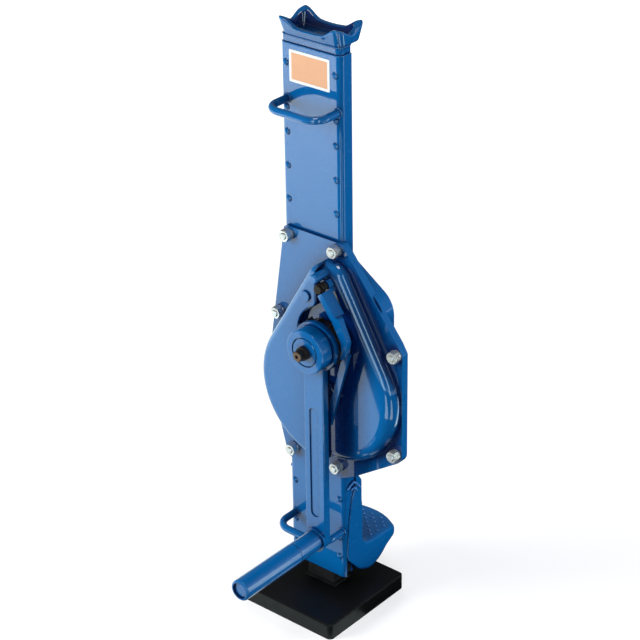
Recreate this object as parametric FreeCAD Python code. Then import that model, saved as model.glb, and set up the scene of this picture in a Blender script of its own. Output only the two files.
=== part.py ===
import FreeCAD, Part
import math
import os

# A rack and pinion jack. The rack stands on the foot plate, and the housing climbs it.
# Millimetres. X to the right of the front plate, Y to the back, Z up.
# The origin is the centre of the foot plate's underside.

V = FreeCAD.Vector
ALONG_Y = V(0, 1, 0)
ALONG_X = V(1, 0, 0)

# Clearances
running = 0.05          # radial, between a shaft and its bush
seat = 0.05             # between pieces that are fixed to each other
guide_gap = 0.3         # between the rack and its guides, and at stops
side_play = 0.3         # axial, beside a piece that turns

# Foot plate
foot_width = 140.0
foot_depth = 140.0
foot_thickness = 20.5
foot_corner = 6.0
foot_edge = 1.5
foot_weld = 3.0

# Rack
rack_width = 40.7
rack_depth = 25.0
rack_y = 10.0
rack_module = 5.0
rack_top_bevel = 3.0
rack_tooth_start = 60.0
travel = 350.0
stop_pin_r = 3.0
stop_pin_down = 18.0
stop_pin_proud = 2.5
stop_block_height = 18.0
stop_block_width = 16.0

# Gear teeth
pressure_angle = math.radians(25.0)
addendum = 0.7          # in modules
dedendum = 0.95         # in modules
backlash = 0.3
rack_pinion_teeth = 8
gear_module = 2.5
large_gear_teeth = 47
crank_pinion_teeth = 10
flank_steps = 3

# Column
sheet = 4.0
column_width = 84.0
column_height = 659.0
column_side = 18.5
column_bend = 6.0
ground_gap = 22.5
rack_front_gap = 1.5
rear_sheet = 3.0
hat_side_gap = 2.65
hat_rear_gap = 4.5
bar_width = 8.0
pad_height = 40.0
shoe_height = 80.0
wall_end_gap = 2.0

# Rivets
rivet_pitch = 40.0
rivet_first_up = 29.0
rivet_last_down = 22.0
rivet_shank_r = 3.0
rivet_head_r = 4.2
rivet_head_height = 2.8
rivets_above = (0, 2, 3, 4)
rivets_below = (0, 2)
rivet_below_handle = 10.0

# Carry handles
handle_bar_r = 4.4
handle_shift = 2.5       # to the right of the column's middle
handle_half_span = 35.5
handle_reach = 36.0
handle_bend = 18.0
upper_handle_down = 63.0
lower_handle_up = 65.0

# Shafts
shaft_r = 10.0
hub_shaft_r = 8.0
shaft_end_r = 6.3
shaft_end_bevel = 1.2
centre_hole_r = 2.2
centre_hole_depth = 4.0
bush_wall = 3.5
bush_flange = 4.0
bush_flange_thickness = 2.5
bearing_wall = 4.0
bearing_boss_depth = 8.0
gear_up = 265.0
crank_shift = 4.65
gear_width = 11.0
gear_room = 1.2
web_hole_r = 9.0
web_hole_ring = 36.0
web_holes = 6
gear_hub_r = 16.0
pinion_inset = 0.6
pinion_room = 4.5
gear_boss_wall = 4.0

# Gear cover
cover_sheet = 4.0
press_radius = 92.0
press_shift = -1.85
press_height = 17.0
press_round = 16.0
apex_radius = 24.0
apex_shift = -5.5        # from the crank axis
apex_up = 65.0
plateau_height = 26.0
plateau_round = 8.0
recess_round = 2.0
plateau_right = -1.0     # from the press centre
tongue_right = -13.5     # from the crank axis
tongue_round = 8.0
recess_radius = 40.0
cover_top_margin = 19.9
cover_side_strip = 2.0
cover_bottom_margin = 30.0
cover_left_margin = 12.0
flange_thickness = 6.0

# The flange's outline: insets and drops of its corners, then their radii
flange_top_left_in = 3.5
flange_top_right_out = 2.5
shoulder_in = 6.5
shoulder_up = 9.0        # above the crank axis
shoulder_drop = 11.0
right_corner_down = 66.5     # below the gear axis
skirt_right_out = 22.0
skirt_right_up = 12.0
skirt_left_in = 2.0
left_corner_in = 20.0
left_corner_up = 34.0
left_bulge_down = 11.0   # below the gear axis
left_slope_in = 8.5
left_slope_up = 36.0     # above the gear axis
small_corner = 5.0
middle_corner = 14.0
large_corner = 22.0

# Gear case behind the cover's right side
case_reach = 100.0
case_corner = 18.0
case_shoulder_corner = 32.0
case_top_corner = 14.0
case_slope_drop = 39.0
case_rise_drop = 48.0
case_top_down = 23.0
case_bottom_up = 9.0
case_top_out = 1.0
case_bottom_out = 17.0

# Cover studs
stud_r = 4.0
nut_across_flats = 13.0
nut_height = 8.0
washer_r = 6.8
washer_thickness = 1.6
stud_proud = 1.4
nut_bevel = 1.0
spot_margin = 0.6
stud_top_down = 9.4
stud_bottom_up = 15.0
stud_top_left_in = 10.0
stud_bottom_left_in = 12.0
stud_right_in = 5.0
stud_left_side_in = 21.5
stud_right_side_in = 8.0
stud_left_side_down = 2.0    # below the crank axis
stud_right_side_down = 3.0   # below the crank axis
stud_right_low_down = 59.0   # below the gear axis

# Crank
hub_r = 26.0
hub_rear_r = 29.5
hub_length = 24.0
hub_groove = 2.0
hub_groove_at = 16.0
hub_edge = 1.5
disc_r = 16.6
disc_gap = 1.2
disc_thickness = 2.2
arm_width = 28.0
arm_thickness = 9.0
arm_back = 1.0
arm_insert = 13.0
arm_edge = 1.2
arm_groove_width = 13.0
arm_groove_depth = 1.5
arm_groove_top = 77.0    # below the crank axis
arm_groove_bottom = 222.0
crank_radius = 252.4
ratchet_r = 31.0
ratchet_root_r = 26.5
ratchet_thickness = 9.0
ratchet_teeth = 12
friction_r = 27.0
friction_thickness = 3.0
thrust_r = 16.0
shaft_proud = 13.0
cross_pin_r = 2.2
cross_pin_length = 15.0
cross_pin_gap = 1.0
shaft_step_proud = 5.0

# Grip
grip_r = 12.8
grip_length = 93.0
grip_edge = 2.5
grip_washer_r = 15.0
grip_washer_thickness = 3.0
grip_collar_length = 36.0
grip_collar_r = 12.5
grip_collar_edge = 1.0
grip_pin_r = 6.0
grip_recess_r = 9.8
grip_recess_depth = 6.0
pin_head_r = 9.0
pin_head_thickness = 3.0

# Pawl
pawl_pivot_shift = -1.0  # from the crank axis
pawl_pivot_up = 67.0
pawl_pin_r = 3.2
pawl_pin_head_r = 4.8
pawl_pin_head = 1.5
pawl_eye_r = 6.6
pawl_eye_thickness = 7.5
pawl_thickness = 7.5
pawl_body_width = 8.0
pawl_body_back = 5.0
pawl_body_start = 5.9
pawl_web_overlap = 4.0
pawl_shoulder_x = 22.0   # from the pivot
pawl_shoulder_down = 29.0
pawl_nose_angle = math.radians(-18.0)
pawl_gap = 0.4
# The blade's outline, (x, z, corner radius): first from its nose, then from its shoulder
blade_outside = ((0.0, 0.0, 0.0), (8.0, 5.0, 3.0), (11.0, 24.0, 12.0))
blade_shoulder = ((8.0, 3.0, 4.0), (-4.0, 1.0, 0.0))
blade_inside = ((1.5, 22.0, 8.0), (2.6, 10.0, 0.0))
# Release tail that hangs from the nose, behind the crank's arm
pawl_tail_width = 8.0
pawl_tail_thickness = 4.5
pawl_tail_side = 7.0     # from the nose
pawl_tail_up = 8.5
pawl_tail_end_side = 9.6     # from the crank axis
pawl_tail_reach = 99.0
spring_wire_r = 1.0
spring_coil_r = 4.4
spring_turns = 3
post_r = 5.4
post_from_pivot = 12.4
post_lean = math.radians(30.0)
plateau_bolt_left = 14.0
plateau_bolt_up = 47.0   # above the crank axis
plateau_bolt_r = 6.5
plateau_bolt_head = 2.5
plateau_bolt_shank_r = 4.0
plateau_bolt_edge = 0.8

# Head
head_plug = 12.0
head_neck = 9.0
head_inset = 1.0
head_rise = 24.5
head_flare_x = 3.0
head_flare_front = 7.0
head_flare_rear = 5.0
head_corner = 10.0
head_neck_corner = 5.0
head_belly_round = 3.0
head_bow = 4.0           # the rim curves in between its horns
head_sag = 10.5
head_sag_depth = 9.0
head_wall = 6.5
head_dish_wall = 8.0
head_dish_floor = 4.0
head_round = 1.5

# Claw
claw_top_up = 138.0
claw_crown = 3.0
claw_crown_drop = 12.0
claw_crown_r = 4.0
claw_stem = 13.5
claw_stem_taper = 1.5
claw_stem_corner = 8.0
claw_crotch_up = 31.5
claw_crotch_r = 16.0
claw_toe_reach = 90.0
claw_toe_fall = 3.5
claw_toe_bow = 14.5       # the tip's middle stands out past its corners
claw_tip_drop = 5.5
claw_tip_r = 2.0
claw_drop = 11.5
claw_keel_in = 21.5
claw_keel_out = 32.0
claw_keel_rise = 17.0
claw_keel_r = 12.0
claw_belly_r = 18.0
claw_rack_wall = 6.0
# Front edge of the cheek that is let into each column side:
# how far forward of the column's back, and the height above its end
cheek_top_up = 125.0
cheek_edge = ((6.5, 107.0), (12.5, 72.0), (14.4, 38.0), (14.4, 24.0))
cheek_foot_up = 5.5
cheek_corner = 12.0

# Places that follow from the sizes
rack_front_y = rack_y - rack_depth / 2
rack_rear_y = rack_y + rack_depth / 2
plate_inner_y = rack_front_y - rack_front_gap
plate_y = plate_inner_y - sheet
column_rear_y = plate_y + column_side
rear_plate_y = column_rear_y - rear_sheet
column_bottom = foot_thickness + ground_gap
column_top = column_bottom + column_height
column_half = column_width / 2
inner_half = column_half - sheet
hat_half = rack_width / 2 + hat_side_gap
hat_rear_y = rack_rear_y + hat_rear_gap
bar_outer = inner_half - seat
bar_inner = bar_outer - bar_width
rivet_x = bar_outer - bar_width / 2
head_bottom = column_top - head_plug
rack_top = head_bottom - guide_gap
claw_top = column_bottom + claw_top_up
upper_handle_z = column_top - upper_handle_down
lower_handle_z = column_bottom + lower_handle_up
belly_z = column_top + head_neck
rim_z = belly_z + head_rise
rim_y0 = plate_y - head_flare_front
rim_y1 = hat_rear_y + rear_sheet + head_flare_rear
rim_half = column_half + head_flare_x

pinion_r = rack_module * rack_pinion_teeth / 2
pinion_tip_r = pinion_r + addendum * rack_module
rack_pitch_x = rack_width / 2 - addendum * rack_module
gear_x = rack_pitch_x + pinion_r
gear_z = column_bottom + gear_up
large_r = gear_module * large_gear_teeth / 2
small_r = gear_module * crank_pinion_teeth / 2
crank_x = gear_x + crank_shift
crank_z = gear_z + math.sqrt((large_r + small_r) ** 2 - crank_shift ** 2)
centre_line = math.atan2(crank_z - gear_z, crank_x - gear_x)

cover_y = plate_y - cover_sheet
press_y = cover_y - press_height
press_inner_y = press_y + cover_sheet
plateau_y = cover_y - plateau_height
plateau_inner_y = plateau_y + cover_sheet
press_x = gear_x + press_shift
press_z = gear_z
apex_x = crank_x + apex_shift
apex_z = crank_z + apex_up
plateau_right_x = press_x + plateau_right
tongue_x = crank_x + tongue_right
cover_right = press_x + press_radius + cover_side_strip
cover_left = press_x - press_radius - cover_left_margin
cover_top = apex_z + apex_radius + cover_top_margin
cover_bottom = press_z - press_radius - cover_bottom_margin
case_top = cover_top - case_top_down
case_bottom = cover_bottom + case_bottom_up
gear_y0 = press_inner_y + gear_room
gear_y1 = gear_y0 + gear_width
boss_y = gear_y0 - side_play
pinion_y0 = rack_front_y + pinion_inset
pinion_y1 = rack_rear_y - pinion_inset
rear_boss_y = rack_rear_y + gear_room
rear_bearing_y = rear_boss_y + bearing_boss_depth
bush_r = shaft_r + running + bush_wall

thrust_y1 = press_y - bush_flange_thickness - side_play
ratchet_y1 = plateau_y - side_play - friction_thickness
ratchet_y0 = ratchet_y1 - ratchet_thickness
hub_y1 = ratchet_y0
hub_y0 = hub_y1 - hub_length
arm_y1 = hub_y1 - arm_back
arm_y0 = arm_y1 - arm_thickness
grip_z = crank_z - crank_radius
grip_washer_y = arm_y0 - grip_washer_thickness
grip_collar_y = grip_washer_y - grip_collar_length
grip_y1 = grip_collar_y - side_play
grip_y0 = grip_y1 - grip_length
pawl_x = crank_x + pawl_pivot_shift
pawl_z = crank_z + pawl_pivot_up
pawl_y0 = ratchet_y0 + side_play
pawl_y1 = pawl_y0 + pawl_thickness
pawl_eye_y1 = press_y - side_play
pawl_eye_y0 = pawl_eye_y1 - pawl_eye_thickness
nut_r = nut_across_flats / 2 / math.cos(math.pi / 6)


def box(x0, x1, y0, y1, z0, z1):
    """A block between two corners."""
    return Part.makeBox(x1 - x0, y1 - y0, z1 - z0, V(x0, y0, z0))


def rod(x, z, r, y0, y1):
    """A round bar along Y."""
    return Part.makeCylinder(r, y1 - y0, V(x, y0, z), ALONG_Y)


def tube(x, z, r, bore, y0, y1):
    """A round sleeve along Y."""
    return rod(x, z, r, y0, y1).cut(rod(x, z, bore, y0 - 1, y1 + 1))


def joined(shapes):
    """One solid from overlapping ones."""
    return shapes[0].multiFuse(shapes[1:]).removeSplitter()


def front_edges(solid, y):
    """Edges that lie in the plane at y."""
    flat = [e for e in solid.Edges if abs(e.BoundBox.YMin - y) < 1e-4 and abs(e.BoundBox.YMax - y) < 1e-4]
    return flat


def corner_arc(before, corner, after, radius):
    """The two tangent points and the middle point of a rounded corner."""
    to_before = (before - corner).normalize()
    to_after = (after - corner).normalize()
    half = to_before.getAngle(to_after) / 2
    reach = radius / math.tan(half)
    middle_way = (to_before + to_after).normalize()
    middle = corner + middle_way * (radius / math.sin(half) - radius)
    return corner + to_before * reach, middle, corner + to_after * reach


def rounded_wire(corners):
    """A closed wire through (point, radius) corners, with an arc at each radius above zero."""
    count = len(corners)
    stretches = []
    for i, (point, radius) in enumerate(corners):
        if radius > 0:
            arc = corner_arc(corners[i - 1][0], point, corners[(i + 1) % count][0], radius)
        else:
            arc = (point, None, point)
        stretches.append(arc)
    edges = []
    for i, (start, middle, end) in enumerate(stretches):
        if middle:
            edges.append(Part.Arc(start, middle, end).toShape())
        following = stretches[(i + 1) % count][0]
        if end.distanceToPoint(following) > 1e-6:
            edges.append(Part.LineSegment(end, following).toShape())
    return Part.Wire(edges)


def plate_xz(corners, y0, y1):
    """A plate along Y from (x, z, radius) corners."""
    wire = rounded_wire([(V(x, y0, z), r) for x, z, r in corners])
    return Part.Face(wire).extrude(V(0, y1 - y0, 0))


def plate_yz(corners, x0, x1):
    """A block along X from (y, z, radius) corners."""
    wire = rounded_wire([(V(x0, y, z), r) for y, z, r in corners])
    return Part.Face(wire).extrude(V(x1 - x0, 0, 0))


def at_angle(x, z, r, angle, y=0.0):
    """A point on a circle round a Y axis, with the angle from +X towards +Z."""
    return V(x + r * math.cos(angle), y, z + r * math.sin(angle))


def gear_face(module, teeth, x, z, phase, y):
    """An involute gear's outline as a face at y, with a tooth centred on the phase angle."""
    r = module * teeth / 2
    base_r = r * math.cos(pressure_angle)
    tip_r = r + addendum * module
    root_r = r - dedendum * module
    start_r = max(base_r, root_r)
    half_pitch_angle = math.pi / (2 * teeth) - backlash / (4 * r)
    involute_at_pitch = math.tan(pressure_angle) - pressure_angle

    def half_angle(radius):
        slope = math.acos(min(1.0, base_r / radius))
        return half_pitch_angle + involute_at_pitch - (math.tan(slope) - slope)

    radii = [start_r + (tip_r - start_r) * i / (flank_steps - 1) for i in range(flank_steps)]
    flank = [(radius, half_angle(radius)) for radius in radii]
    if root_r < start_r:
        flank.insert(0, (root_r, half_angle(start_r)))
    points = []
    for tooth in range(teeth):
        centre = phase + 2 * math.pi * tooth / teeth
        points += [at_angle(x, z, radius, centre - half, y) for radius, half in flank]
        points += [at_angle(x, z, radius, centre + half, y) for radius, half in reversed(flank)]
    return Part.Face(Part.makePolygon(points + points[:1]))


def gear(module, teeth, x, z, phase, y0, y1):
    """A spur gear along Y."""
    return gear_face(module, teeth, x, z, phase, y0).extrude(V(0, y1 - y0, 0))


def tangent_points(side):
    """Unit normal of the line that touches the press circle and the apex circle on one side."""
    across = V(apex_x - press_x, 0, apex_z - press_z)
    distance = across.Length
    way = across / distance
    lean = (press_radius - apex_radius) / distance
    beside = V(way.z, 0, -way.x) * side
    return way * lean + beside * math.sqrt(1 - lean ** 2)


def teardrop(inset, y):
    """The cover pressing's outline: a large and a small circle with the two lines that touch them."""
    big = press_radius - inset
    small = apex_radius - inset
    centre = V(press_x, y, press_z)
    apex = V(apex_x, y, apex_z)
    right = tangent_points(1)
    left = tangent_points(-1)
    edges = [
        Part.Arc(centre + right * big, centre - V(0, 0, big), centre + left * big).toShape(),
        Part.LineSegment(centre + left * big, apex + left * small).toShape(),
        Part.Arc(apex + left * small, apex + V(0, 0, small), apex + right * small).toShape(),
        Part.LineSegment(apex + right * small, centre + right * big).toShape(),
    ]
    return Part.Face(Part.Wire(edges))


def beside_plateau(inset, y0, y1):
    """Everything to the right of the plateau's tongue, of its round recess and of its step."""
    recess = recess_radius + inset
    step_x = plateau_right_x - inset
    side_x = tongue_x - inset
    neck = V(side_x, y0, crank_z + math.sqrt(recess ** 2 - (side_x - crank_x) ** 2))
    step = V(step_x, y0, crank_z - math.sqrt(recess ** 2 - (step_x - crank_x) ** 2))
    high = V(side_x, y0, cover_top)
    low = V(step_x, y0, cover_bottom)
    high_right = V(cover_right, y0, cover_top)
    low_right = V(cover_right, y0, cover_bottom)
    edges = [
        Part.LineSegment(high, neck).toShape(),
        Part.Arc(neck, V(crank_x - recess, y0, crank_z), step).toShape(),
        Part.LineSegment(step, low).toShape(),
        Part.LineSegment(low, low_right).toShape(),
        Part.LineSegment(low_right, high_right).toShape(),
        Part.LineSegment(high_right, high).toShape(),
    ]
    side = Part.Face(Part.Wire(edges)).extrude(V(0, y1 - y0, 0))
    tip = [e for e in side.Edges if abs(e.CenterOfMass.x - neck.x) + abs(e.CenterOfMass.z - neck.z) < 1e-4]
    return side.makeFillet(tongue_round - inset, tip)


def raised(face, y0, y1, rounding):
    """A form from y1 forward to y0, with its front edges rounded."""
    solid = face.extrude(V(0, y0 - y1, 0))
    return solid.makeFillet(rounding, front_edges(solid, y0))


def cover_corners():
    """The flange's outline, shared by the cover and the shell behind it."""
    shoulder_z = crank_z + shoulder_up
    return [
        (-column_half + flange_top_left_in, cover_top, small_corner),
        (column_half + flange_top_right_out, cover_top, small_corner),
        (cover_right - shoulder_in, shoulder_z, small_corner),
        (cover_right, shoulder_z - shoulder_drop, small_corner),
        (cover_right, press_z - right_corner_down, middle_corner),
        (column_half + skirt_right_out, cover_bottom + skirt_right_up, large_corner),
        (column_half, cover_bottom, small_corner),
        (-column_half + skirt_left_in, cover_bottom, small_corner),
        (cover_left + left_corner_in, cover_bottom + left_corner_up, large_corner),
        (cover_left, press_z - left_bulge_down, large_corner),
        (cover_left + left_slope_in, press_z + left_slope_up, large_corner),
    ]


def case_corners(inset):
    """The gear case's side wall, from inside the column out to the right."""
    wall_x = case_reach - inset
    top = case_top - inset
    bottom = case_bottom + inset
    corner = case_corner - inset
    return [
        (0.0, top, 0.0),
        (column_half + case_top_out - inset / 2, top, case_top_corner - inset),
        (wall_x, top - case_slope_drop, case_shoulder_corner - inset),
        (wall_x, bottom + case_rise_drop, corner),
        (column_half + case_bottom_out - inset / 2, bottom, 0.0),
        (0.0, bottom, 0.0),
    ]


def stud_places():
    """Centres (x, z) of the cover's seven studs."""
    high = cover_top - stud_top_down
    low = cover_bottom + stud_bottom_up
    right_x = cover_right - stud_right_side_in
    return [
        (-column_half + stud_top_left_in, high),
        (column_half - stud_right_in, high),
        (cover_left + stud_left_side_in, crank_z - stud_left_side_down),
        (right_x, crank_z - stud_right_side_down),
        (right_x, press_z - stud_right_low_down),
        (-column_half + stud_bottom_left_in, low),
        (column_half - stud_right_in, low),
    ]


def rivet_heights():
    """Heights of the rivets: rows above and below the gear case, and one under each carry handle."""
    top = column_top - rivet_last_down
    bottom = column_bottom + rivet_first_up
    rows = [top - i * rivet_pitch for i in rivets_above] + [bottom + i * rivet_pitch for i in rivets_below]
    return rows + [z - rivet_below_handle for z in (upper_handle_z, lower_handle_z)]


def rivet_places():
    return [(side * rivet_x, z) for z in rivet_heights() for side in (-1, 1)]


def foot_plate():
    plate = box(-foot_width / 2, foot_width / 2, -foot_depth / 2, foot_depth / 2, 0, foot_thickness)
    plate = plate.makeFillet(foot_corner, [e for e in plate.Edges if e.BoundBox.ZLength > foot_thickness / 2])
    rim = [e for e in plate.Edges if e.BoundBox.ZMin > foot_thickness - 1e-4]
    return plate.makeChamfer(foot_edge, rim)


def rack_teeth():
    """Gaps between the rack's teeth, as one cutter; a gap faces the pinion's axis at rest."""
    pitch = math.pi * rack_module
    half_gap = pitch / 4 + backlash / 4
    tip_x = rack_width / 2
    root_x = rack_pitch_x - dedendum * rack_module
    lean = math.tan(pressure_angle)
    first = math.ceil((rack_tooth_start - gear_z) / pitch)
    last = math.floor((rack_top - pitch / 2 - gear_z) / pitch)
    gaps = []
    for i in range(first, last + 1):
        z = gear_z + i * pitch
        mouth = half_gap + (tip_x - rack_pitch_x + 1) * lean
        floor = half_gap - (rack_pitch_x - root_x) * lean
        corners = [(tip_x + 1, z - mouth, 0), (tip_x + 1, z + mouth, 0),
                   (root_x, z + floor, 0), (root_x, z - floor, 0)]
        gaps.append(plate_xz(corners, rack_front_y - 1, rack_rear_y + 1))
    return Part.Compound(gaps)


def rack():
    bar = box(-rack_width / 2, rack_width / 2, rack_front_y, rack_rear_y, foot_thickness, rack_top)
    bar = bar.makeChamfer(rack_top_bevel, [e for e in bar.Edges if e.BoundBox.ZMin > rack_top - 1e-4])
    bar = bar.cut(rack_teeth())
    return bar.cut(rod(0, rack_top - stop_pin_down, stop_pin_r + seat, rack_front_y - 1, rack_rear_y + 1))


def rack_weld():
    """A fillet weld all round the rack's foot."""
    def ring(grow, z):
        x = rack_width / 2 + grow
        y0 = rack_front_y - grow
        y1 = rack_rear_y + grow
        return Part.makePolygon([V(-x, y0, z), V(x, y0, z), V(x, y1, z), V(-x, y1, z), V(-x, y0, z)])

    bead = Part.makeLoft([ring(foot_weld, foot_thickness), ring(seat * 2, foot_thickness + foot_weld)], True)
    hole = box(-rack_width / 2 - seat, rack_width / 2 + seat, rack_front_y - seat, rack_rear_y + seat,
               foot_thickness - 1, foot_thickness + foot_weld + 1)
    return bead.cut(hole)


def front_shell():
    """Front plate with bent sides, and the flange and side wall of the gear case."""
    column = box(-column_half, column_half, plate_y, column_rear_y, column_bottom, column_top)
    bends = [e for e in front_edges(column, plate_y) if e.BoundBox.ZLength > column_height / 2]
    column = column.makeFillet(column_bend, bends)
    flange = plate_xz(cover_corners(), plate_y, plate_y + flange_thickness)
    case = plate_xz(case_corners(0), plate_y, column_rear_y)
    inner = box(-inner_half, inner_half, plate_inner_y, column_rear_y + 1, column_bottom - 1, column_top + 1)
    inner_bends = [e for e in front_edges(inner, plate_inner_y) if e.BoundBox.ZLength > column_height / 2]
    inner = inner.makeFillet(column_bend - sheet, inner_bends)
    hollow = plate_xz(case_corners(sheet), plate_inner_y, column_rear_y + 1)
    shell = joined([column, flange, case]).cut(inner).cut(hollow)
    shell = shell.cut(rod(gear_x, gear_z, pinion_tip_r + gear_room, plate_y - 1, plate_inner_y + 1))
    shell = shell.cut(rod(crank_x, crank_z, shaft_r + gear_room, plate_y - 1, plate_inner_y + 1))
    for x, z in rivet_places():
        shell = shell.cut(rod(x, z, rivet_shank_r + seat, plate_y - 1, plate_inner_y + 1))
    for x, z in stud_places():
        shell = shell.cut(rod(x, z, stud_r + seat, plate_y - 1, plate_y + flange_thickness + 1))
    for side in (-1, 1):
        shell = shell.cut(cheek_slot(side))
    return shell


def rear_shell():
    """Rear plate between the sides, with the rack's hat-shaped channel and the gear's bearing."""
    edge = inner_half - seat
    strip = box(-edge, edge, rear_plate_y, column_rear_y, column_bottom, column_top)
    case = plate_xz(case_corners(sheet + seat), rear_plate_y, column_rear_y)
    hat_x = hat_half + rear_sheet
    hat_back = hat_rear_y + rear_sheet
    hat = box(-hat_x, hat_x, rear_plate_y, hat_back, claw_top, column_top)
    spine = [e for e in front_edges(hat, hat_back) if e.BoundBox.XLength < 1]
    hat = hat.makeFillet(rear_sheet, spine)
    gear_pot_r = pinion_tip_r + pinion_room
    pot = rod(gear_x, gear_z, gear_pot_r + gear_boss_wall, rear_plate_y, rear_boss_y + bearing_wall)
    boss = rod(gear_x, gear_z, bush_r + bearing_wall, rear_boss_y, rear_bearing_y)
    crank_boss_rear = column_rear_y + bearing_boss_depth
    crank_boss = rod(crank_x, crank_z, bush_r + bearing_wall, rear_plate_y, crank_boss_rear)
    channel = box(-hat_half, hat_half, rear_plate_y - 1, hat_rear_y, column_bottom - 1, column_top + 1)
    shell = joined([strip, case, hat, pot, crank_boss]).cut(channel)
    shell = shell.cut(rod(gear_x, gear_z, gear_pot_r, rear_plate_y - 1, rear_boss_y))
    shell = joined([shell, boss])
    shell = shell.cut(rod(gear_x, gear_z, bush_r + seat, rear_boss_y - 1, rear_bearing_y + 1))
    bore_end = column_rear_y + bearing_boss_depth + 1
    shell = shell.cut(rod(crank_x, crank_z, bush_r + seat, rear_plate_y - 1, bore_end))
    for x, z in rivet_places():
        shell = shell.cut(rod(x, z, rivet_shank_r + seat, rear_plate_y - 1, column_rear_y + 1))
    return shell


def spacer_bar(side, z0, z1):
    """A flat bar between the two shells, clamped by the rivets, bevelled to clear the shell's bend."""
    front = plate_inner_y + seat
    edges = sorted((side * bar_inner, side * bar_outer))
    bar = box(edges[0], edges[1], front, rear_plate_y - seat, z0, z1)
    bend = [e for e in front_edges(bar, front) if abs(e.BoundBox.Center.x - side * bar_outer) < 1e-4]
    bar = bar.makeChamfer(column_bend - sheet, bend)
    for x, z in rivet_places():
        bar = bar.cut(rod(x, z, rivet_shank_r + seat, plate_inner_y - 1, rear_plate_y + 1))
    for x, z in stud_places():
        bar = bar.cut(rod(x, z, stud_r + seat, plate_inner_y - 1, plate_y + flange_thickness + seat))
    return bar


def column_rivets():
    """Dome heads in front, flat heads behind."""
    dome_r = (rivet_head_r ** 2 + rivet_head_height ** 2) / (2 * rivet_head_height)
    rivets = []
    for x, z in rivet_places():
        ball = Part.makeSphere(dome_r, V(x, plate_y - rivet_head_height + dome_r, z))
        dome = ball.common(rod(x, z, rivet_head_r, plate_y - rivet_head_height - 1, plate_y))
        shank = rod(x, z, rivet_shank_r, plate_y - seat, column_rear_y + seat)
        tail = rod(x, z, rivet_head_r - seat, column_rear_y, column_rear_y + rivet_head_height / 2)
        rivets.append(joined([dome, shank, tail]))
    return Part.Compound(rivets)


def guide_pads():
    """Bronze pads low in the column, beside the rack."""
    z0 = column_bottom + wall_end_gap
    pads = []
    for side in (-1, 1):
        edges = sorted((side * (rack_width / 2 + guide_gap), side * (bar_inner - seat)))
        pads.append(box(edges[0], edges[1], plate_inner_y + seat, rear_plate_y - seat, z0, z0 + pad_height))
    return Part.Compound(pads)


def backing_shoe():
    """Holds the rack against the pinion."""
    z0 = gear_z - shoe_height / 2
    return box(-bar_inner + seat, -rack_width / 2 - guide_gap, plate_inner_y + seat, rear_plate_y - seat,
               z0, z0 + shoe_height)


def stop_block():
    top = rack_top - stop_pin_down - stop_pin_r - guide_gap - travel
    return box(-stop_block_width / 2, stop_block_width / 2, rack_rear_y + guide_gap, hat_rear_y,
               top - stop_block_height, top)


def carry_handle(z):
    """A bent round bar, welded to the front plate at both ends."""
    front = plate_y - handle_reach
    left = handle_shift - handle_half_span
    right = handle_shift + handle_half_span
    turn = handle_bend
    rear = front + turn
    slack = turn * (1 - math.sqrt(0.5))
    edges = [
        Part.LineSegment(V(left, plate_y, z), V(left, rear, z)).toShape(),
        Part.Arc(V(left, rear, z), V(left + slack, front + slack, z), V(left + turn, front, z)).toShape(),
        Part.LineSegment(V(left + turn, front, z), V(right - turn, front, z)).toShape(),
        Part.Arc(V(right - turn, front, z), V(right - slack, front + slack, z), V(right, rear, z)).toShape(),
        Part.LineSegment(V(right, rear, z), V(right, plate_y, z)).toShape(),
    ]
    section = Part.Wire(Part.Circle(V(left, plate_y, z), ALONG_Y, handle_bar_r).toShape())
    return Part.Wire(edges).makePipeShell([section], True, False)


def tall_form(inset, y0, y1, rounding):
    """The teardrop raised to the plateau's level, without the part beside the plateau."""
    tall = raised(teardrop(inset, y1), y0, y1, rounding)
    beside = beside_plateau(inset, y0 - 1, y1)
    return tall.cut(beside), beside


def gear_cover():
    """Pressed sheet cover: flange, teardrop bulge and flat plateau, with bearing bosses."""
    flange = plate_xz(cover_corners(), cover_y, plate_y)
    bulge = raised(teardrop(0, cover_y), press_y, cover_y, press_round)
    high, beside = tall_form(0, plateau_y, cover_y, plateau_round)
    cut_edges = [e for e in front_edges(high, plateau_y)
                 if Part.Vertex(e.valueAt(sum(e.ParameterRange) / 2)).distToShape(beside)[0] < 1e-4]
    high = high.makeFillet(recess_round, cut_edges)
    hollow = raised(teardrop(cover_sheet, plate_y + 1), press_inner_y, plate_y + 1, press_round - cover_sheet)
    high_hollow = tall_form(cover_sheet, plateau_inner_y, plate_y + 1, plateau_round - cover_sheet)[0]
    shell = joined([flange, bulge, high]).cut(hollow).cut(high_hollow)
    post_x = pawl_x - post_from_pivot * math.sin(post_lean)
    post_z = pawl_z + post_from_pivot * math.cos(post_lean)
    post = rod(post_x, post_z, post_r, pawl_y0, press_inner_y)
    post = post.makeFillet(post_r / 3, front_edges(post, pawl_y0))
    boss = rod(gear_x, gear_z, bush_r + bearing_wall, plateau_y, boss_y)
    boss = boss.makeFillet(recess_round, front_edges(boss, plateau_y))
    shell = joined([shell, post, boss])
    shell = shell.cut(rod(gear_x, gear_z, bush_r + seat, plateau_inner_y, boss_y + 1))
    shell = shell.cut(rod(crank_x, crank_z, bush_r + seat, press_y - 1, press_inner_y + 1))
    shell = shell.cut(rod(pawl_x, pawl_z, pawl_pin_r + seat, press_y - 1, press_inner_y + 1))
    bolt_x, bolt_z = plateau_bolt_place()
    shell = shell.cut(rod(bolt_x, bolt_z, plateau_bolt_shank_r + seat, plateau_y - 1, plateau_inner_y + 1))
    for x, z in stud_places():
        shell = shell.cut(rod(x, z, stud_r + seat, cover_y - 1, plate_y + 1))
        shell = shell.cut(rod(x, z, washer_r + spot_margin, cover_y - plateau_height - 1, cover_y))
    return shell


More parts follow.
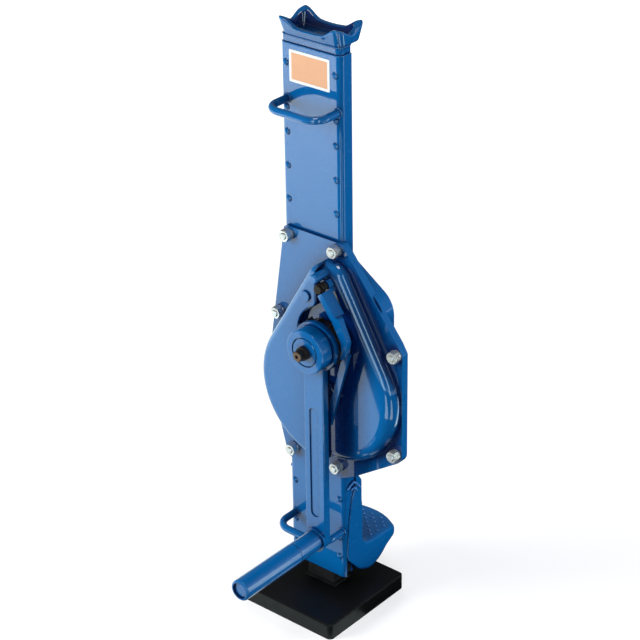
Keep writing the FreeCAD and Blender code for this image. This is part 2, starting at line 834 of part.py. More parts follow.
def plateau_bolt_place():
    """On the plateau's upper tongue, between its left edge and the ratchet's recess."""
    return tongue_x - plateau_bolt_left, crank_z + plateau_bolt_up


def plateau_bolt():
    x, z = plateau_bolt_place()
    head = rod(x, z, plateau_bolt_r, plateau_y - plateau_bolt_head, plateau_y)
    head = head.makeFillet(plateau_bolt_edge, front_edges(head, plateau_y - plateau_bolt_head))
    return joined([head, rod(x, z, plateau_bolt_shank_r, plateau_y, plateau_inner_y)])


def cover_studs():
    front = cover_y - washer_thickness - nut_height - stud_proud
    studs = []
    for x, z in stud_places():
        stud = rod(x, z, stud_r, front, plate_y + flange_thickness)
        studs.append(stud.makeChamfer(stud_proud / 2, front_edges(stud, front)))
    return Part.Compound(studs)


def cover_nuts():
    """Hex nuts with a bevelled front face."""
    back = cover_y - washer_thickness
    front = back - nut_height
    nuts = []
    for x, z in stud_places():
        corners = [at_angle(x, z, nut_r, math.radians(60 * i), back) for i in range(7)]
        hexagon = Part.Face(Part.makePolygon(corners)).extrude(V(0, -nut_height, 0))
        round_face = Part.makeCone(nut_r - nut_bevel, nut_r + nut_height, nut_height + nut_bevel,
                                   V(x, front, z), ALONG_Y)
        nuts.append(hexagon.common(round_face).cut(rod(x, z, stud_r + seat, front - 1, back + 1)))
    return Part.Compound(nuts)


def cover_washers():
    return Part.Compound([tube(x, z, washer_r, stud_r + seat, cover_y - washer_thickness, cover_y)
                          for x, z in stud_places()])


def large_gear():
    """Driven by the crank's pinion, with lightening holes in its web."""
    wheel = gear(gear_module, large_gear_teeth, gear_x, gear_z, centre_line, gear_y0, gear_y1)
    for i in range(web_holes):
        hole = at_angle(gear_x, gear_z, web_hole_ring, 2 * math.pi * i / web_holes)
        wheel = wheel.cut(rod(hole.x, hole.z, web_hole_r, gear_y0 - 1, gear_y1 + 1))
    hub = rod(gear_x, gear_z, gear_hub_r, gear_y1, pinion_y0 - seat)
    return joined([wheel, hub]).cut(rod(gear_x, gear_z, shaft_r + seat, gear_y0 - 1, pinion_y0 + 1))


def rack_pinion():
    blank = gear(rack_module, rack_pinion_teeth, gear_x, gear_z, math.pi, pinion_y0, pinion_y1)
    return blank.cut(rod(gear_x, gear_z, shaft_r + seat, pinion_y0 - 1, pinion_y1 + 1))


def crank_pinion():
    phase = centre_line + math.pi + math.pi / crank_pinion_teeth
    blank = gear(gear_module, crank_pinion_teeth, crank_x, crank_z, phase, gear_y0, gear_y1)
    return blank.cut(rod(crank_x, crank_z, hub_shaft_r + seat, gear_y0 - 1, gear_y1 + 1))


def gear_shaft():
    return rod(gear_x, gear_z, shaft_r, plateau_inner_y + side_play, rear_bearing_y)


def crank_shaft():
    """Stepped: bearing journals at both ends of the pinion's seat, hub seat and free end."""
    end_y = hub_y0 - shaft_proud
    journal = rod(crank_x, crank_z, shaft_r, thrust_y1, gear_y0 - seat)
    rear = rod(crank_x, crank_z, shaft_r, gear_y1 + seat, column_rear_y + bearing_boss_depth)
    middle = rod(crank_x, crank_z, hub_shaft_r, hub_y0 - shaft_step_proud, gear_y1 + 1)
    tip = rod(crank_x, crank_z, shaft_end_r, end_y, hub_y0)
    tip = tip.makeChamfer(shaft_end_bevel, front_edges(tip, end_y))
    shaft = joined([rear, journal, middle, tip])
    shaft = shaft.cut(rod(crank_x, crank_z, centre_hole_r, end_y - 1, end_y + centre_hole_depth))
    return shaft.cut(cross_pin_bore(seat))


def cross_pin_bore(gap):
    y = hub_y0 - shaft_step_proud - cross_pin_r - cross_pin_gap
    start = V(crank_x - cross_pin_length / 2 - gap, y, crank_z)
    return Part.makeCylinder(cross_pin_r + gap, cross_pin_length + 2 * gap, start, ALONG_X)


def shaft_bush(x, z, y0, y1):
    return tube(x, z, bush_r, shaft_r + running, y0, y1)


def crank_front_bush():
    front = press_y - bush_flange_thickness
    sleeve = shaft_bush(crank_x, crank_z, front, press_inner_y)
    flange = tube(crank_x, crank_z, bush_r + bush_flange, shaft_r + running, front, press_y)
    return joined([sleeve, flange])


def ratchet_wheel():
    """Saw teeth that hold against the pawl when the load tries to come down."""
    points = []
    for i in range(ratchet_teeth):
        angle = 2 * math.pi * i / ratchet_teeth
        points.append(at_angle(crank_x, crank_z, ratchet_root_r, angle, ratchet_y0))
        points.append(at_angle(crank_x, crank_z, ratchet_r, angle, ratchet_y0))
    wheel = Part.Face(Part.makePolygon(points + points[:1])).extrude(V(0, ratchet_thickness, 0))
    return wheel.cut(rod(crank_x, crank_z, hub_shaft_r + seat, ratchet_y0 - 1, ratchet_y1 + 1))


def friction_disc():
    return tube(crank_x, crank_z, friction_r, hub_shaft_r + seat, ratchet_y1, ratchet_y1 + friction_thickness)


def thrust_collar():
    return tube(crank_x, crank_z, thrust_r, hub_shaft_r + seat, ratchet_y1 + friction_thickness, thrust_y1)


def arm_blank(gap):
    """The crank arm's outer form, from inside the hub down to its round lower end."""
    half = arm_width / 2 + gap
    top = crank_z - hub_r + arm_insert + gap
    left = crank_x - half
    right = crank_x + half
    corners = [(left, top, 0), (right, top, 0), (right, grip_z, 0), (left, grip_z, 0)]
    bar = plate_xz(corners, arm_y0 - gap, arm_y1 + gap)
    return joined([bar, rod(crank_x, grip_z, half, arm_y0 - gap, arm_y1 + gap)])


def crank_hub():
    drum = rod(crank_x, crank_z, hub_r, hub_y0, hub_y1)
    drum = drum.makeFillet(hub_edge, front_edges(drum, hub_y0))
    groove_y = hub_y0 + hub_groove_at
    drum = drum.cut(tube(crank_x, crank_z, hub_r + 1, hub_r - hub_groove, groove_y, groove_y + hub_groove))
    drum = joined([drum, rod(crank_x, crank_z, hub_rear_r, groove_y + hub_groove, hub_y1)])
    drum = drum.cut(rod(crank_x, crank_z, disc_r + disc_gap, hub_y0 - 1, hub_y0 + disc_thickness))
    drum = drum.cut(rod(crank_x, crank_z, hub_shaft_r + seat, hub_y0 - 1, hub_y1 + 1))
    return drum.cut(arm_blank(seat))


def hub_retaining_disc():
    disc = tube(crank_x, crank_z, disc_r, hub_shaft_r + seat, hub_y0, hub_y0 + disc_thickness)
    rim = [e for e in front_edges(disc, hub_y0) if e.Curve.Radius > hub_shaft_r + 1]
    return disc.makeChamfer(disc_thickness / 4, rim)


def crank_arm():
    """Flat bar with a pressed groove down its front."""
    bar = arm_blank(0)
    outline = [e for e in front_edges(bar, arm_y0) if e.BoundBox.ZMax < crank_z - hub_r + arm_insert - 1e-4]
    bar = bar.makeFillet(arm_edge, outline)
    half = arm_groove_width / 2
    top = crank_z - arm_groove_top - half
    bottom = crank_z - arm_groove_bottom + half
    groove = box(crank_x - half, crank_x + half, arm_y0 - 1, arm_y0 + arm_groove_depth, bottom, top)
    ends = [rod(crank_x, z, half, arm_y0 - 1, arm_y0 + arm_groove_depth) for z in (bottom, top)]
    bar = bar.cut(joined([groove] + ends))
    return bar.cut(rod(crank_x, grip_z, grip_pin_r + seat, arm_y0 - 1, arm_y1 + 1))


def grip_pin():
    """Riveted in the arm; its head holds the sleeve on."""
    shank = rod(crank_x, grip_z, grip_pin_r, grip_y0 + grip_recess_depth - side_play, arm_y1)
    head_y = grip_y0 + grip_recess_depth - side_play
    head = rod(crank_x, grip_z, pin_head_r, head_y - pin_head_thickness, head_y)
    return joined([shank, head])


def grip_washer():
    return tube(crank_x, grip_z, grip_washer_r, grip_pin_r + seat, grip_washer_y, arm_y0)


def grip_collar():
    """Its front edge is bevelled where it meets the sleeve."""
    collar = rod(crank_x, grip_z, grip_collar_r, grip_collar_y, grip_washer_y)
    collar = collar.makeChamfer(grip_collar_edge, front_edges(collar, grip_collar_y))
    return collar.cut(rod(crank_x, grip_z, grip_pin_r + seat, grip_collar_y - 1, grip_washer_y + 1))


def grip_sleeve():
    sleeve = rod(crank_x, grip_z, grip_r, grip_y0, grip_y1)
    sleeve = sleeve.makeFillet(grip_edge, front_edges(sleeve, grip_y0))
    sleeve = sleeve.cut(rod(crank_x, grip_z, grip_pin_r + running, grip_y0 - 1, grip_y1 + 1))
    return sleeve.cut(rod(crank_x, grip_z, grip_recess_r, grip_y0 - 1, grip_y0 + grip_recess_depth))


def slanted_bar(start, end, width, y0, y1):
    """A flat bar between two places."""
    way = (end - start).normalize()
    beside = V(-way.z, 0, way.x) * (width / 2)
    corners = [start - beside, start + beside, end + beside, end - beside]
    return plate_xz([(p.x, p.z, 0) for p in corners], y0, y1)


def pawl():
    """Eye on the pivot pin, deep lever body, hooked blade that reaches the ratchet, and release tail."""
    pivot = V(pawl_x, 0, pawl_z)
    nose = at_angle(crank_x, crank_z, ratchet_r + pawl_gap, pawl_nose_angle)
    shoulder = pivot + V(pawl_shoulder_x, 0, -pawl_shoulder_down)
    way = (shoulder - pivot).normalize()
    start = pivot + way * pawl_body_start
    body = slanted_bar(start, shoulder, pawl_body_width, pawl_y0, pawl_eye_y1 - pawl_body_back)
    web = slanted_bar(pivot, start + way * pawl_web_overlap, pawl_body_width, pawl_eye_y0, pawl_eye_y1)
    outline = [(nose.x + x, nose.z + z, r) for x, z, r in blade_outside]
    outline += [(shoulder.x + x, shoulder.z + z, r) for x, z, r in blade_shoulder]
    outline += [(nose.x + x, nose.z + z, r) for x, z, r in blade_inside]
    blade = plate_xz(outline, pawl_y0, pawl_y1)
    tail_y0 = pawl_y1 - pawl_tail_thickness
    tail_top = V(nose.x + pawl_tail_side, 0, nose.z + pawl_tail_up)
    tail_end = V(crank_x + pawl_tail_end_side, 0, crank_z - pawl_tail_reach)
    tail = slanted_bar(tail_top, tail_end, pawl_tail_width, tail_y0, pawl_y1)
    tip = rod(tail_end.x, tail_end.z, pawl_tail_width / 2, tail_y0, pawl_y1)
    eye = rod(pawl_x, pawl_z, pawl_eye_r, pawl_eye_y0, pawl_eye_y1)
    lever = joined([eye, web, body, blade, tail, tip])
    return lever.cut(rod(pawl_x, pawl_z, pawl_pin_r + running, pawl_eye_y0 - 1, pawl_eye_y1 + 1))


def pawl_pin():
    head_y = pawl_y0 + pawl_pin_head
    shank = rod(pawl_x, pawl_z, pawl_pin_r, pawl_y0, press_inner_y)
    return joined([shank, rod(pawl_x, pawl_z, pawl_pin_head_r, pawl_y0, head_y)])


def pawl_spring():
    """Coil round the pivot pin, between its head and the pawl's eye."""
    y0 = pawl_y0 + pawl_pin_head + spring_wire_r + seat
    y1 = pawl_eye_y0 - spring_wire_r - side_play
    height = y1 - y0
    helix = Part.makeHelix(height / spring_turns, height, spring_coil_r)
    section = Part.Wire(Part.Circle(V(spring_coil_r, 0, 0), V(0, 1, 0), spring_wire_r).toShape())
    coil = Part.Wire(helix.Edges).makePipeShell([section], True, True)
    coil.rotate(V(0, 0, 0), ALONG_X, -90)
    coil.translate(V(pawl_x, y0, pawl_z))
    return coil


def head_ring(grow_x, grow_front, grow_rear, corner, z):
    """A rounded rectangle about the column and its rack channel, as a wire."""
    x = column_half + grow_x
    y0 = plate_y - grow_front
    y1 = hat_rear_y + rear_sheet + grow_rear
    points = [V(-x, y0, z), V(x, y0, z), V(x, y1, z), V(-x, y1, z)]
    return rounded_wire([(point, corner) for point in points])


def bowed_in(half, bow):
    """Radius of the arc that curves in by the bow over two halves."""
    return (half ** 2 + bow ** 2) / (2 * bow)


def head():
    """Four-horned load head with a dished top, plugged into the column."""
    inset = head_inset
    neck_x = column_half - inset
    neck = box(-neck_x, neck_x, plate_y + inset, column_rear_y, column_top, belly_z + inset)
    front = [e for e in neck.Edges if e.BoundBox.ZLength > head_neck and e.BoundBox.YMax < 0]
    neck = neck.makeFillet(head_neck_corner, front)
    belly_ring = head_ring(-inset / 2, -inset / 2, -inset, head_corner, belly_z)
    rim_ring = head_ring(head_flare_x, head_flare_front, head_flare_rear, head_corner, rim_z)
    bowl = Part.makeLoft([belly_ring, rim_ring], True)
    bowl = bowl.makeFillet(head_belly_round, [e for e in bowl.Edges if e.BoundBox.ZMax < belly_z + 1e-4])
    plug_x = hat_half - seat
    plug = box(-plug_x, plug_x, plate_inner_y + seat, hat_rear_y - seat, head_bottom, belly_z + inset)
    middle_y = (rim_y0 + rim_y1) / 2
    half_y = (rim_y1 - rim_y0) / 2
    far = column_width
    sag_r = bowed_in(rim_half, head_sag)
    sag_depth_r = bowed_in(half_y, head_sag_depth)
    front_r = bowed_in(rim_half - head_corner, head_bow)
    side_r = bowed_in(half_y - head_corner, head_bow / 2)
    side_x = rim_half - head_bow / 2 + side_r
    cutters = [
        Part.makeCylinder(sag_r, 2 * far, V(0, -far, rim_z - head_sag + sag_r), ALONG_Y),
        Part.makeCylinder(sag_depth_r, 2 * far, V(-far, middle_y, rim_z - head_sag_depth + sag_depth_r),
                          ALONG_X),
        Part.makeCylinder(front_r, far, V(0, rim_y0 + head_bow - front_r, belly_z)),
        Part.makeCylinder(front_r, far, V(0, rim_y1 - head_bow + front_r, belly_z)),
        Part.makeCylinder(side_r, far, V(side_x, middle_y, belly_z)),
        Part.makeCylinder(side_r, far, V(-side_x, middle_y, belly_z)),
    ]
    block = joined([bowl, neck, plug]).cut(cutters)
    low = -head_dish_wall
    dish = Part.makeLoft([head_ring(low, low, low, head_corner / 2, belly_z + head_dish_floor),
                          head_ring(head_flare_x - head_wall, head_flare_front - head_wall,
                                    head_flare_rear - head_wall, head_corner, rim_z + 1)], True)
    block = block.cut(dish)
    rim_low = belly_z + head_dish_floor + 1
    return block.makeFillet(head_round, [e for e in block.Edges if e.BoundBox.ZMin > rim_low])


def cheek_front(gap):
    """Outline of the claw's tongue, from its top down its front edge."""
    front = [(column_rear_y - forward - gap, column_bottom + up, cheek_corner)
             for forward, up in cheek_edge[:-1]]
    forward, up = cheek_edge[-1]
    return [(column_rear_y + 1, column_bottom + cheek_top_up + gap, 0)] + front + [
        (column_rear_y - forward - gap, column_bottom + up, 0)]


def cheek_tongue(side):
    """The claw's tongue in one column side."""
    edges = sorted((side * inner_half, side * column_half))
    foot = (column_rear_y + 1, column_bottom + cheek_foot_up, 0)
    return plate_yz(cheek_front(0) + [foot], edges[0], edges[1])


def cheek_slot(side):
    """The cut-out in the column's side that takes the tongue, open below."""
    foot_z = column_bottom - 1
    front_y = cheek_front(seat)[-1][0]
    edges = sorted((side * (inner_half - seat), side * (column_half + 1)))
    foot = [(front_y, foot_z, 0), (column_rear_y + 1, foot_z, 0)]
    return plate_yz(cheek_front(seat) + foot, edges[0], edges[1])


def claw():
    """Forged claw on the column's back, let into its sides, with a passage for the rack."""
    y0 = column_rear_y
    crotch_z = column_bottom + claw_crotch_up
    toe_y = y0 + claw_toe_reach
    toe_z = crotch_z - claw_toe_fall
    keel_z = column_bottom - claw_drop
    profile = [
        (y0, claw_top, 0),
        (y0 + claw_crown, claw_top, claw_crown_r),
        (y0 + claw_stem - claw_stem_taper, claw_top - claw_crown_drop, claw_stem_corner),
        (y0 + claw_stem, crotch_z, claw_crotch_r),
        (toe_y, toe_z, claw_tip_r),
        (toe_y, toe_z - claw_tip_drop, claw_tip_r),
        (y0 + claw_keel_out, keel_z, claw_belly_r),
        (y0 + claw_keel_in, keel_z, claw_keel_r),
        (y0, keel_z + claw_keel_rise, 0),
    ]
    body = plate_yz(profile, -column_half, column_half)
    left_back = V(-column_half, y0, keel_z)
    right_back = V(column_half, y0, keel_z)
    right_tip = V(column_half, toe_y - claw_toe_bow, keel_z)
    left_tip = V(-column_half, toe_y - claw_toe_bow, keel_z)
    plan = Part.Wire([
        Part.makeLine(left_back, right_back),
        Part.makeLine(right_back, right_tip),
        Part.Arc(right_tip, V(0, toe_y, keel_z), left_tip).toShape(),
        Part.makeLine(left_tip, left_back),
    ])
    body = body.common(Part.Face(plan).extrude(V(0, 0, claw_top - keel_z)))
    jacket_x = hat_half + claw_rack_wall
    jacket_y = hat_rear_y + claw_rack_wall
    jacket = box(-jacket_x, jacket_x, y0, jacket_y, keel_z + claw_keel_rise, claw_top - claw_crown_drop)
    back = [e for e in front_edges(jacket, jacket_y) if e.BoundBox.XLength < 1]
    jacket = jacket.makeFillet(claw_rack_wall, back)
    passage = box(-hat_half, hat_half, y0 - 1, hat_rear_y, keel_z - 1, claw_top + 1)
    tongues = [cheek_tongue(side) for side in (-1, 1)]
    forged = joined([body, jacket] + tongues).cut(passage)
    for x, z in rivet_places():
        pocket_y = y0 + rivet_head_height / 2 + seat
        forged = forged.cut(rod(x, z, rivet_head_r + seat, y0 - 1, pocket_y))
    return forged


bar_low = column_bottom + wall_end_gap
bar_high = column_top - wall_end_gap

nodes = {
    "foot_plate": foot_plate(),
    "rack": rack(),
    "rack_weld": rack_weld(),
    "rack_stop_pin": rod(0, rack_top - stop_pin_down, stop_pin_r, rack_front_y, rack_rear_y + stop_pin_proud),
    "front_shell": front_shell(),
    "rear_shell": rear_shell(),
    "left_spacer_bar": spacer_bar(-1, bar_low, bar_high),
    "upper_right_spacer_bar": spacer_bar(1, case_top, bar_high),
    "lower_right_spacer_bar": spacer_bar(1, bar_low, case_bottom),
    "column_rivets": column_rivets(),
    "guide_pads": guide_pads(),
    "backing_shoe": backing_shoe(),
    "stop_block": stop_block(),
    "upper_carry_handle": carry_handle(upper_handle_z),
    "lower_carry_handle": carry_handle(lower_handle_z),
    "gear_cover": gear_cover(),
    "plateau_bolt": plateau_bolt(),
    "cover_studs": cover_studs(),
    "cover_nuts": cover_nuts(),
    "cover_washers": cover_washers(),
    "gear_front_bush": shaft_bush(gear_x, gear_z, plateau_inner_y + seat, boss_y),
    "gear_rear_bush": shaft_bush(gear_x, gear_z, rear_boss_y, rear_bearing_y),
    "crank_front_bush": crank_front_bush(),
    "crank_rear_bush": shaft_bush(crank_x, crank_z, rear_plate_y, column_rear_y + bearing_boss_depth),
    "gear_shaft": gear_shaft(),
    "large_gear": large_gear(),
    "rack_pinion": rack_pinion(),
    "crank_shaft": crank_shaft(),
    "crank_pinion": crank_pinion(),
    "thrust_collar": thrust_collar(),
    "friction_disc": friction_disc(),
    "ratchet_wheel": ratchet_wheel(),
    "crank_hub": crank_hub(),
    "hub_retaining_disc": hub_retaining_disc(),
    "shaft_cross_pin": cross_pin_bore(0),
    "crank_arm": crank_arm(),
    "grip_pin": grip_pin(),
    "grip_washer": grip_washer(),
    "grip_collar": grip_collar(),
    "grip_sleeve": grip_sleeve(),
    "pawl": pawl(),
    "pawl_pin": pawl_pin(),
    "pawl_spring": pawl_spring(),
    "load_head": head(),
    "claw": claw(),
}

os.makedirs("parts", exist_ok=True)
for name, shape in nodes.items():
    shape.exportStep(f"parts/{name}.step")
    solids = shape.Solids
    print(f"{name}: {len(solids)} solids, valid {shape.isValid()}, volume {shape.Volume:.0f}")

print(f"gear axis {gear_x:.4f} {gear_z:.4f}, crank axis {crank_x:.4f} {crank_z:.4f}")
print(f"grip height {grip_z:.4f}")
print(f"pawl axis {pawl_x:.4f} {pawl_z:.4f}")
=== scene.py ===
# %% [markdown]
# # A rack and pinion jack, dressed for a studio picture
#
# The jack is a sheet-steel column that climbs a toothed rack when the crank is turned. Every
# part that moves or carries load comes from the packed CAD model, in metres, and is left where
# it is. This lesson gives those parts their paint and metal, adds the small things that CAD
# leaves out, and sets up the floor, the lamps and the camera.

# %% Load the packed model
import math

import bmesh
import bpy
from mathutils import Matrix, Vector
from mathutils.bvhtree import BVHTree


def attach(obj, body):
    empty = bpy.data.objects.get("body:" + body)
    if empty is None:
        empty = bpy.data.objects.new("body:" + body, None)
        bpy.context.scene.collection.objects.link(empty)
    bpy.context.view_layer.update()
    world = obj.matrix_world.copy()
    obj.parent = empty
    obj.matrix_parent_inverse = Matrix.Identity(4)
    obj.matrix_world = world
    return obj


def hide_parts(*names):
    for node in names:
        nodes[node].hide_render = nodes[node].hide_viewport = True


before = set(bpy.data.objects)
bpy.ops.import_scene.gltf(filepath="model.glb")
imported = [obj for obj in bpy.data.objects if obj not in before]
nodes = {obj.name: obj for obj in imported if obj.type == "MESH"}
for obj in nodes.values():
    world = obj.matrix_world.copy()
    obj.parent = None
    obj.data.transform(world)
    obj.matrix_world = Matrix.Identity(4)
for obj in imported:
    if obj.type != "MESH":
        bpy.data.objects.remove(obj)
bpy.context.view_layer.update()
MM = 0.001

# %% [markdown]
# ## The camera
#
# The photograph looks down on the jack from its right front, with a long lens, so upright edges
# stay nearly parallel. The view was found by matching corners of the foot plate, the column and
# the cover. Turning a camera by hand until it looks right would be quicker, but edges would be
# some pixels off. The lens is given for a picture that is 640 pixels square.

# %% Set the camera
PICTURE = 640
FOCAL_PIXELS = 2040.4
SENSOR = 36.0
FAR_CLIP = 50.0
CAMERA_PLACE = Vector((1324.0, -1554.0, 1458.8))
CAMERA_RIGHT = Vector((0.76618, 0.64250, -0.01357))
CAMERA_DOWN = Vector((0.29211, -0.36699, -0.88318))
CAMERA_FORWARD = Vector((-0.57241, 0.67270, -0.46885))
camera_data = bpy.data.cameras.new("studio_camera")
camera_data.sensor_width = SENSOR
camera_data.lens = FOCAL_PIXELS * SENSOR / PICTURE
camera_data.clip_end = FAR_CLIP
camera = bpy.data.objects.new("studio_camera", camera_data)
axes = Matrix((CAMERA_RIGHT, -CAMERA_DOWN, -CAMERA_FORWARD)).transposed()
camera.matrix_world = Matrix.Translation(CAMERA_PLACE * MM) @ axes.to_4x4()
bpy.context.scene.collection.objects.link(camera)
bpy.context.scene.camera = camera
print("lens", round(camera_data.lens, 2), "mm")

# %% [markdown]
# ## Node helpers
#
# A material is a small graph. A few helpers keep the cells short: one adds a node and fills its
# inputs with numbers or with other nodes' outputs, three give the output of a node that is used
# often, and one starts a group. Written out node by node, the same graphs would fill pages.

# %% Helpers: nodes and links
def join(tree, start, end):
    """A link from an output to an input."""
    tree.links.new(start, end)


def add(tree, kind, values=None, **settings):
    """A node of that kind. A value is a number or colour for an input, or an output to join to it."""
    node = tree.nodes.new(kind)
    for name, value in settings.items():
        setattr(node, name, value)
    for name, value in (values or {}).items():
        if isinstance(value, bpy.types.NodeSocket):
            join(tree, value, node.inputs[name])
        else:
            node.inputs[name].default_value = value
    return node


print("helper add:", add.__doc__)

# %% Helpers: a ramp, a mixed colour and a sum
def ramp(tree, value, low, high, start=0.0, end=1.0):
    """The output of a Map Range: low becomes start and high becomes end."""
    limits = {"From Min": low, "From Max": high, "To Min": start, "To Max": end}
    return add(tree, "ShaderNodeMapRange", {"Value": value, **limits}).outputs["Result"]


def mixed(tree, factor, first, second):
    """The output of a Mix: the first colour at factor 0, the second at 1."""
    inputs = {"Factor": factor, "A": first, "B": second}
    return add(tree, "ShaderNodeMix", inputs, data_type="RGBA").outputs["Result"]


def worked_out(tree, operation, *values):
    """The output of a Math node."""
    return add(tree, "ShaderNodeMath", dict(enumerate(values)), operation=operation).outputs["Value"]


print("helper ramp:", ramp.__doc__)

# %% Helper: an empty group
FLOAT = "NodeSocketFloat"
COLOR = "NodeSocketColor"
VECTOR = "NodeSocketVector"


def new_group(name, inputs, outputs):
    """An empty shader group with named sockets, and its two end nodes."""
    tree = bpy.data.node_groups.new(name, "ShaderNodeTree")
    for label, kind, value in inputs:
        socket = tree.interface.new_socket(name=label, in_out="INPUT", socket_type=kind)
        if value is not None:
            socket.default_value = value
    for label, kind in outputs:
        tree.interface.new_socket(name=label, in_out="OUTPUT", socket_type=kind)
    return tree, tree.nodes.new("NodeGroupInput"), tree.nodes.new("NodeGroupOutput")


print("helper new_group:", new_group.__doc__)

# %% [markdown]
# ## Rounded edges
#
# No edge of a painted steel part is truly sharp: paint draws back and light catches it. A Bevel
# node looks at the surface round each point and gives a normal that rolls over the edge. Where
# that normal leaves the surface's own normal there is an edge, and the difference is a mask for
# a lighter edge tone, partly wear and partly a painted highlight. A Bevel modifier could do the
# same, but CAD triangles are long and thin and tear under it.

# %% Group: edge finder
EDGE_RADIUS = 0.0012
FLAT, ROLLED = 0.99, 0.82
edge_tree, edge_in, edge_out = new_group(
    "edge_finder", [("Radius", FLOAT, EDGE_RADIUS)], [("Normal", VECTOR), ("Edge", FLOAT)])
rolled = add(edge_tree, "ShaderNodeBevel", {"Radius": edge_in.outputs["Radius"]}, samples=6)
own = add(edge_tree, "ShaderNodeNewGeometry")
likeness = add(edge_tree, "ShaderNodeVectorMath", {0: rolled.outputs["Normal"], 1: own.outputs["Normal"]},
               operation="DOT_PRODUCT")
join(edge_tree, rolled.outputs["Normal"], edge_out.inputs["Normal"])
join(edge_tree, ramp(edge_tree, likeness.outputs["Value"], FLAT, ROLLED), edge_out.inputs["Edge"])
print("group", edge_tree.name)

# %% [markdown]
# ## The skin of sprayed enamel
#
# Sprayed paint dries in a skin of shallow ripples a few millimetres across, which painters call
# orange peel, and it is never one even colour. On top of that the group paints shade into hollows,
# where an Ambient Occlusion node finds near walls, and lightens edges, partly as wear and partly as
# a painted highlight. The group gives a colour, a roughness and a height from noise on Object
# coordinates, so it needs no unwrapping and no image.

# %% Group: sprayed enamel, its inputs
# One input colour is painted shade for hollows, and one is a lighter edge tone, partly wear and partly
# painted highlight.
skin_tree, skin_in, skin_out = new_group(
    "sprayed_enamel",
    [("Vector", VECTOR, None), ("Colour", COLOR, (0.0, 0.08, 0.33, 1)),
     ("Deep", COLOR, (0.0, 0.05, 0.22, 1)), ("Wear And Highlight", COLOR, (0.1, 0.25, 0.5, 1)),
     ("Painted Shade", COLOR, (0.0, 0.012, 0.08, 1)), ("Shade Reach", FLOAT, 0.045), ("Shade Shut", FLOAT, 0.45),
     ("Edge", FLOAT, 0.0), ("Smooth", FLOAT, 0.15), ("Dull", FLOAT, 0.35),
     ("Peel Scale", FLOAT, 260.0)],
    [("Colour", COLOR), ("Roughness", FLOAT), ("Height", FLOAT)])
skin = skin_in.outputs
clouds = add(skin_tree, "ShaderNodeTexNoise",
             {"Vector": skin["Vector"], "Scale": 14.0, "Detail": 4.0, "Roughness": 0.55})
grime = add(skin_tree, "ShaderNodeTexNoise",
            {"Vector": skin["Vector"], "Scale": 60.0, "Detail": 6.0, "Roughness": 0.65})
peel = add(skin_tree, "ShaderNodeTexNoise",
           {"Vector": skin["Vector"], "Scale": skin["Peel Scale"], "Detail": 2.0, "Roughness": 0.4})
print("group", skin_tree.name)

# %% [markdown]
# The colour is built in three coats: cloudy patches of the deeper tone, then painted shade in the
# hollows, then a lighter tone on the edges, partly wear and partly painted highlight. The reach says
# how far a wall may be to count, and the shut value how closed in a place has to be for the full
# painted shade. The edge tone is broken up by fine noise, because an even line along every edge
# would look drawn.

# %% Group: sprayed enamel, its results
CLOUD_SHARE = 0.35
OPEN = 0.98
cloudy = ramp(skin_tree, clouds.outputs["Fac"], 0.35, 0.7, end=CLOUD_SHARE)
sprayed = mixed(skin_tree, cloudy, skin["Colour"], skin["Deep"])
# Painted shade: places near walls, found by Ambient Occlusion, turn towards the dark shade colour.
walls = add(skin_tree, "ShaderNodeAmbientOcclusion", {"Distance": skin["Shade Reach"]}, samples=8)
openness = ramp(skin_tree, walls.outputs["AO"], skin["Shade Shut"], OPEN)
shaded = mixed(skin_tree, openness, skin["Painted Shade"], sprayed)
# A lighter tone on edges, partly wear and partly painted highlight.
broken = ramp(skin_tree, grime.outputs["Fac"], 0.35, 0.75)
wear_and_highlight_mask = worked_out(skin_tree, "MULTIPLY", broken, skin["Edge"])
wear_and_highlight = mixed(skin_tree, wear_and_highlight_mask, shaded, skin["Wear And Highlight"])
roughness = ramp(skin_tree, grime.outputs["Fac"], 0.4, 0.8, skin["Smooth"], skin["Dull"])
join(skin_tree, wear_and_highlight, skin_out.inputs["Colour"])
join(skin_tree, roughness, skin_out.inputs["Roughness"])
join(skin_tree, peel.outputs["Fac"], skin_out.inputs["Height"])
print("enamel nodes", len(skin_tree.nodes))

# %% [markdown]
# ## Turned and plated metal
#
# Machined steel carries fine lines, and zinc plate is faintly cloudy. This group stretches noise
# along one axis for the lines and adds clouds for the plating or the oxide. An anisotropic shader
# could draw the lines too, but from the camera's distance noise looks the same and bakes better.

# %% Group: worked metal
LINE_STRETCH = (1.0, 0.08, 1.0)
metal_tree, metal_in, metal_out = new_group(
    "worked_metal",
    [("Vector", VECTOR, None), ("Colour", COLOR, (0.6, 0.6, 0.6, 1)),
     ("Stain", COLOR, (0.3, 0.3, 0.3, 1)), ("Stain Amount", FLOAT, 0.5),
     ("Smooth", FLOAT, 0.2), ("Dull", FLOAT, 0.45), ("Line Scale", FLOAT, 900.0)],
    [("Colour", COLOR), ("Roughness", FLOAT), ("Height", FLOAT)])
metal = metal_in.outputs
stretch = add(metal_tree, "ShaderNodeMapping", {"Vector": metal["Vector"], "Scale": LINE_STRETCH})
lines = add(metal_tree, "ShaderNodeTexNoise",
            {"Vector": stretch.outputs["Vector"], "Scale": metal["Line Scale"], "Detail": 3.0})
blotch = add(metal_tree, "ShaderNodeTexNoise",
             {"Vector": metal["Vector"], "Scale": 120.0, "Detail": 5.0, "Roughness": 0.6})
spots = ramp(metal_tree, blotch.outputs["Fac"], 0.45, 0.72, end=metal["Stain Amount"])
stained = mixed(metal_tree, spots, metal["Colour"], metal["Stain"])
shine = ramp(metal_tree, blotch.outputs["Fac"], 0.3, 0.7, metal["Smooth"], metal["Dull"])
join(metal_tree, stained, metal_out.inputs["Colour"])
join(metal_tree, shine, metal_out.inputs["Roughness"])
join(metal_tree, lines.outputs["Fac"], metal_out.inputs["Height"])
print("group", metal_tree.name)

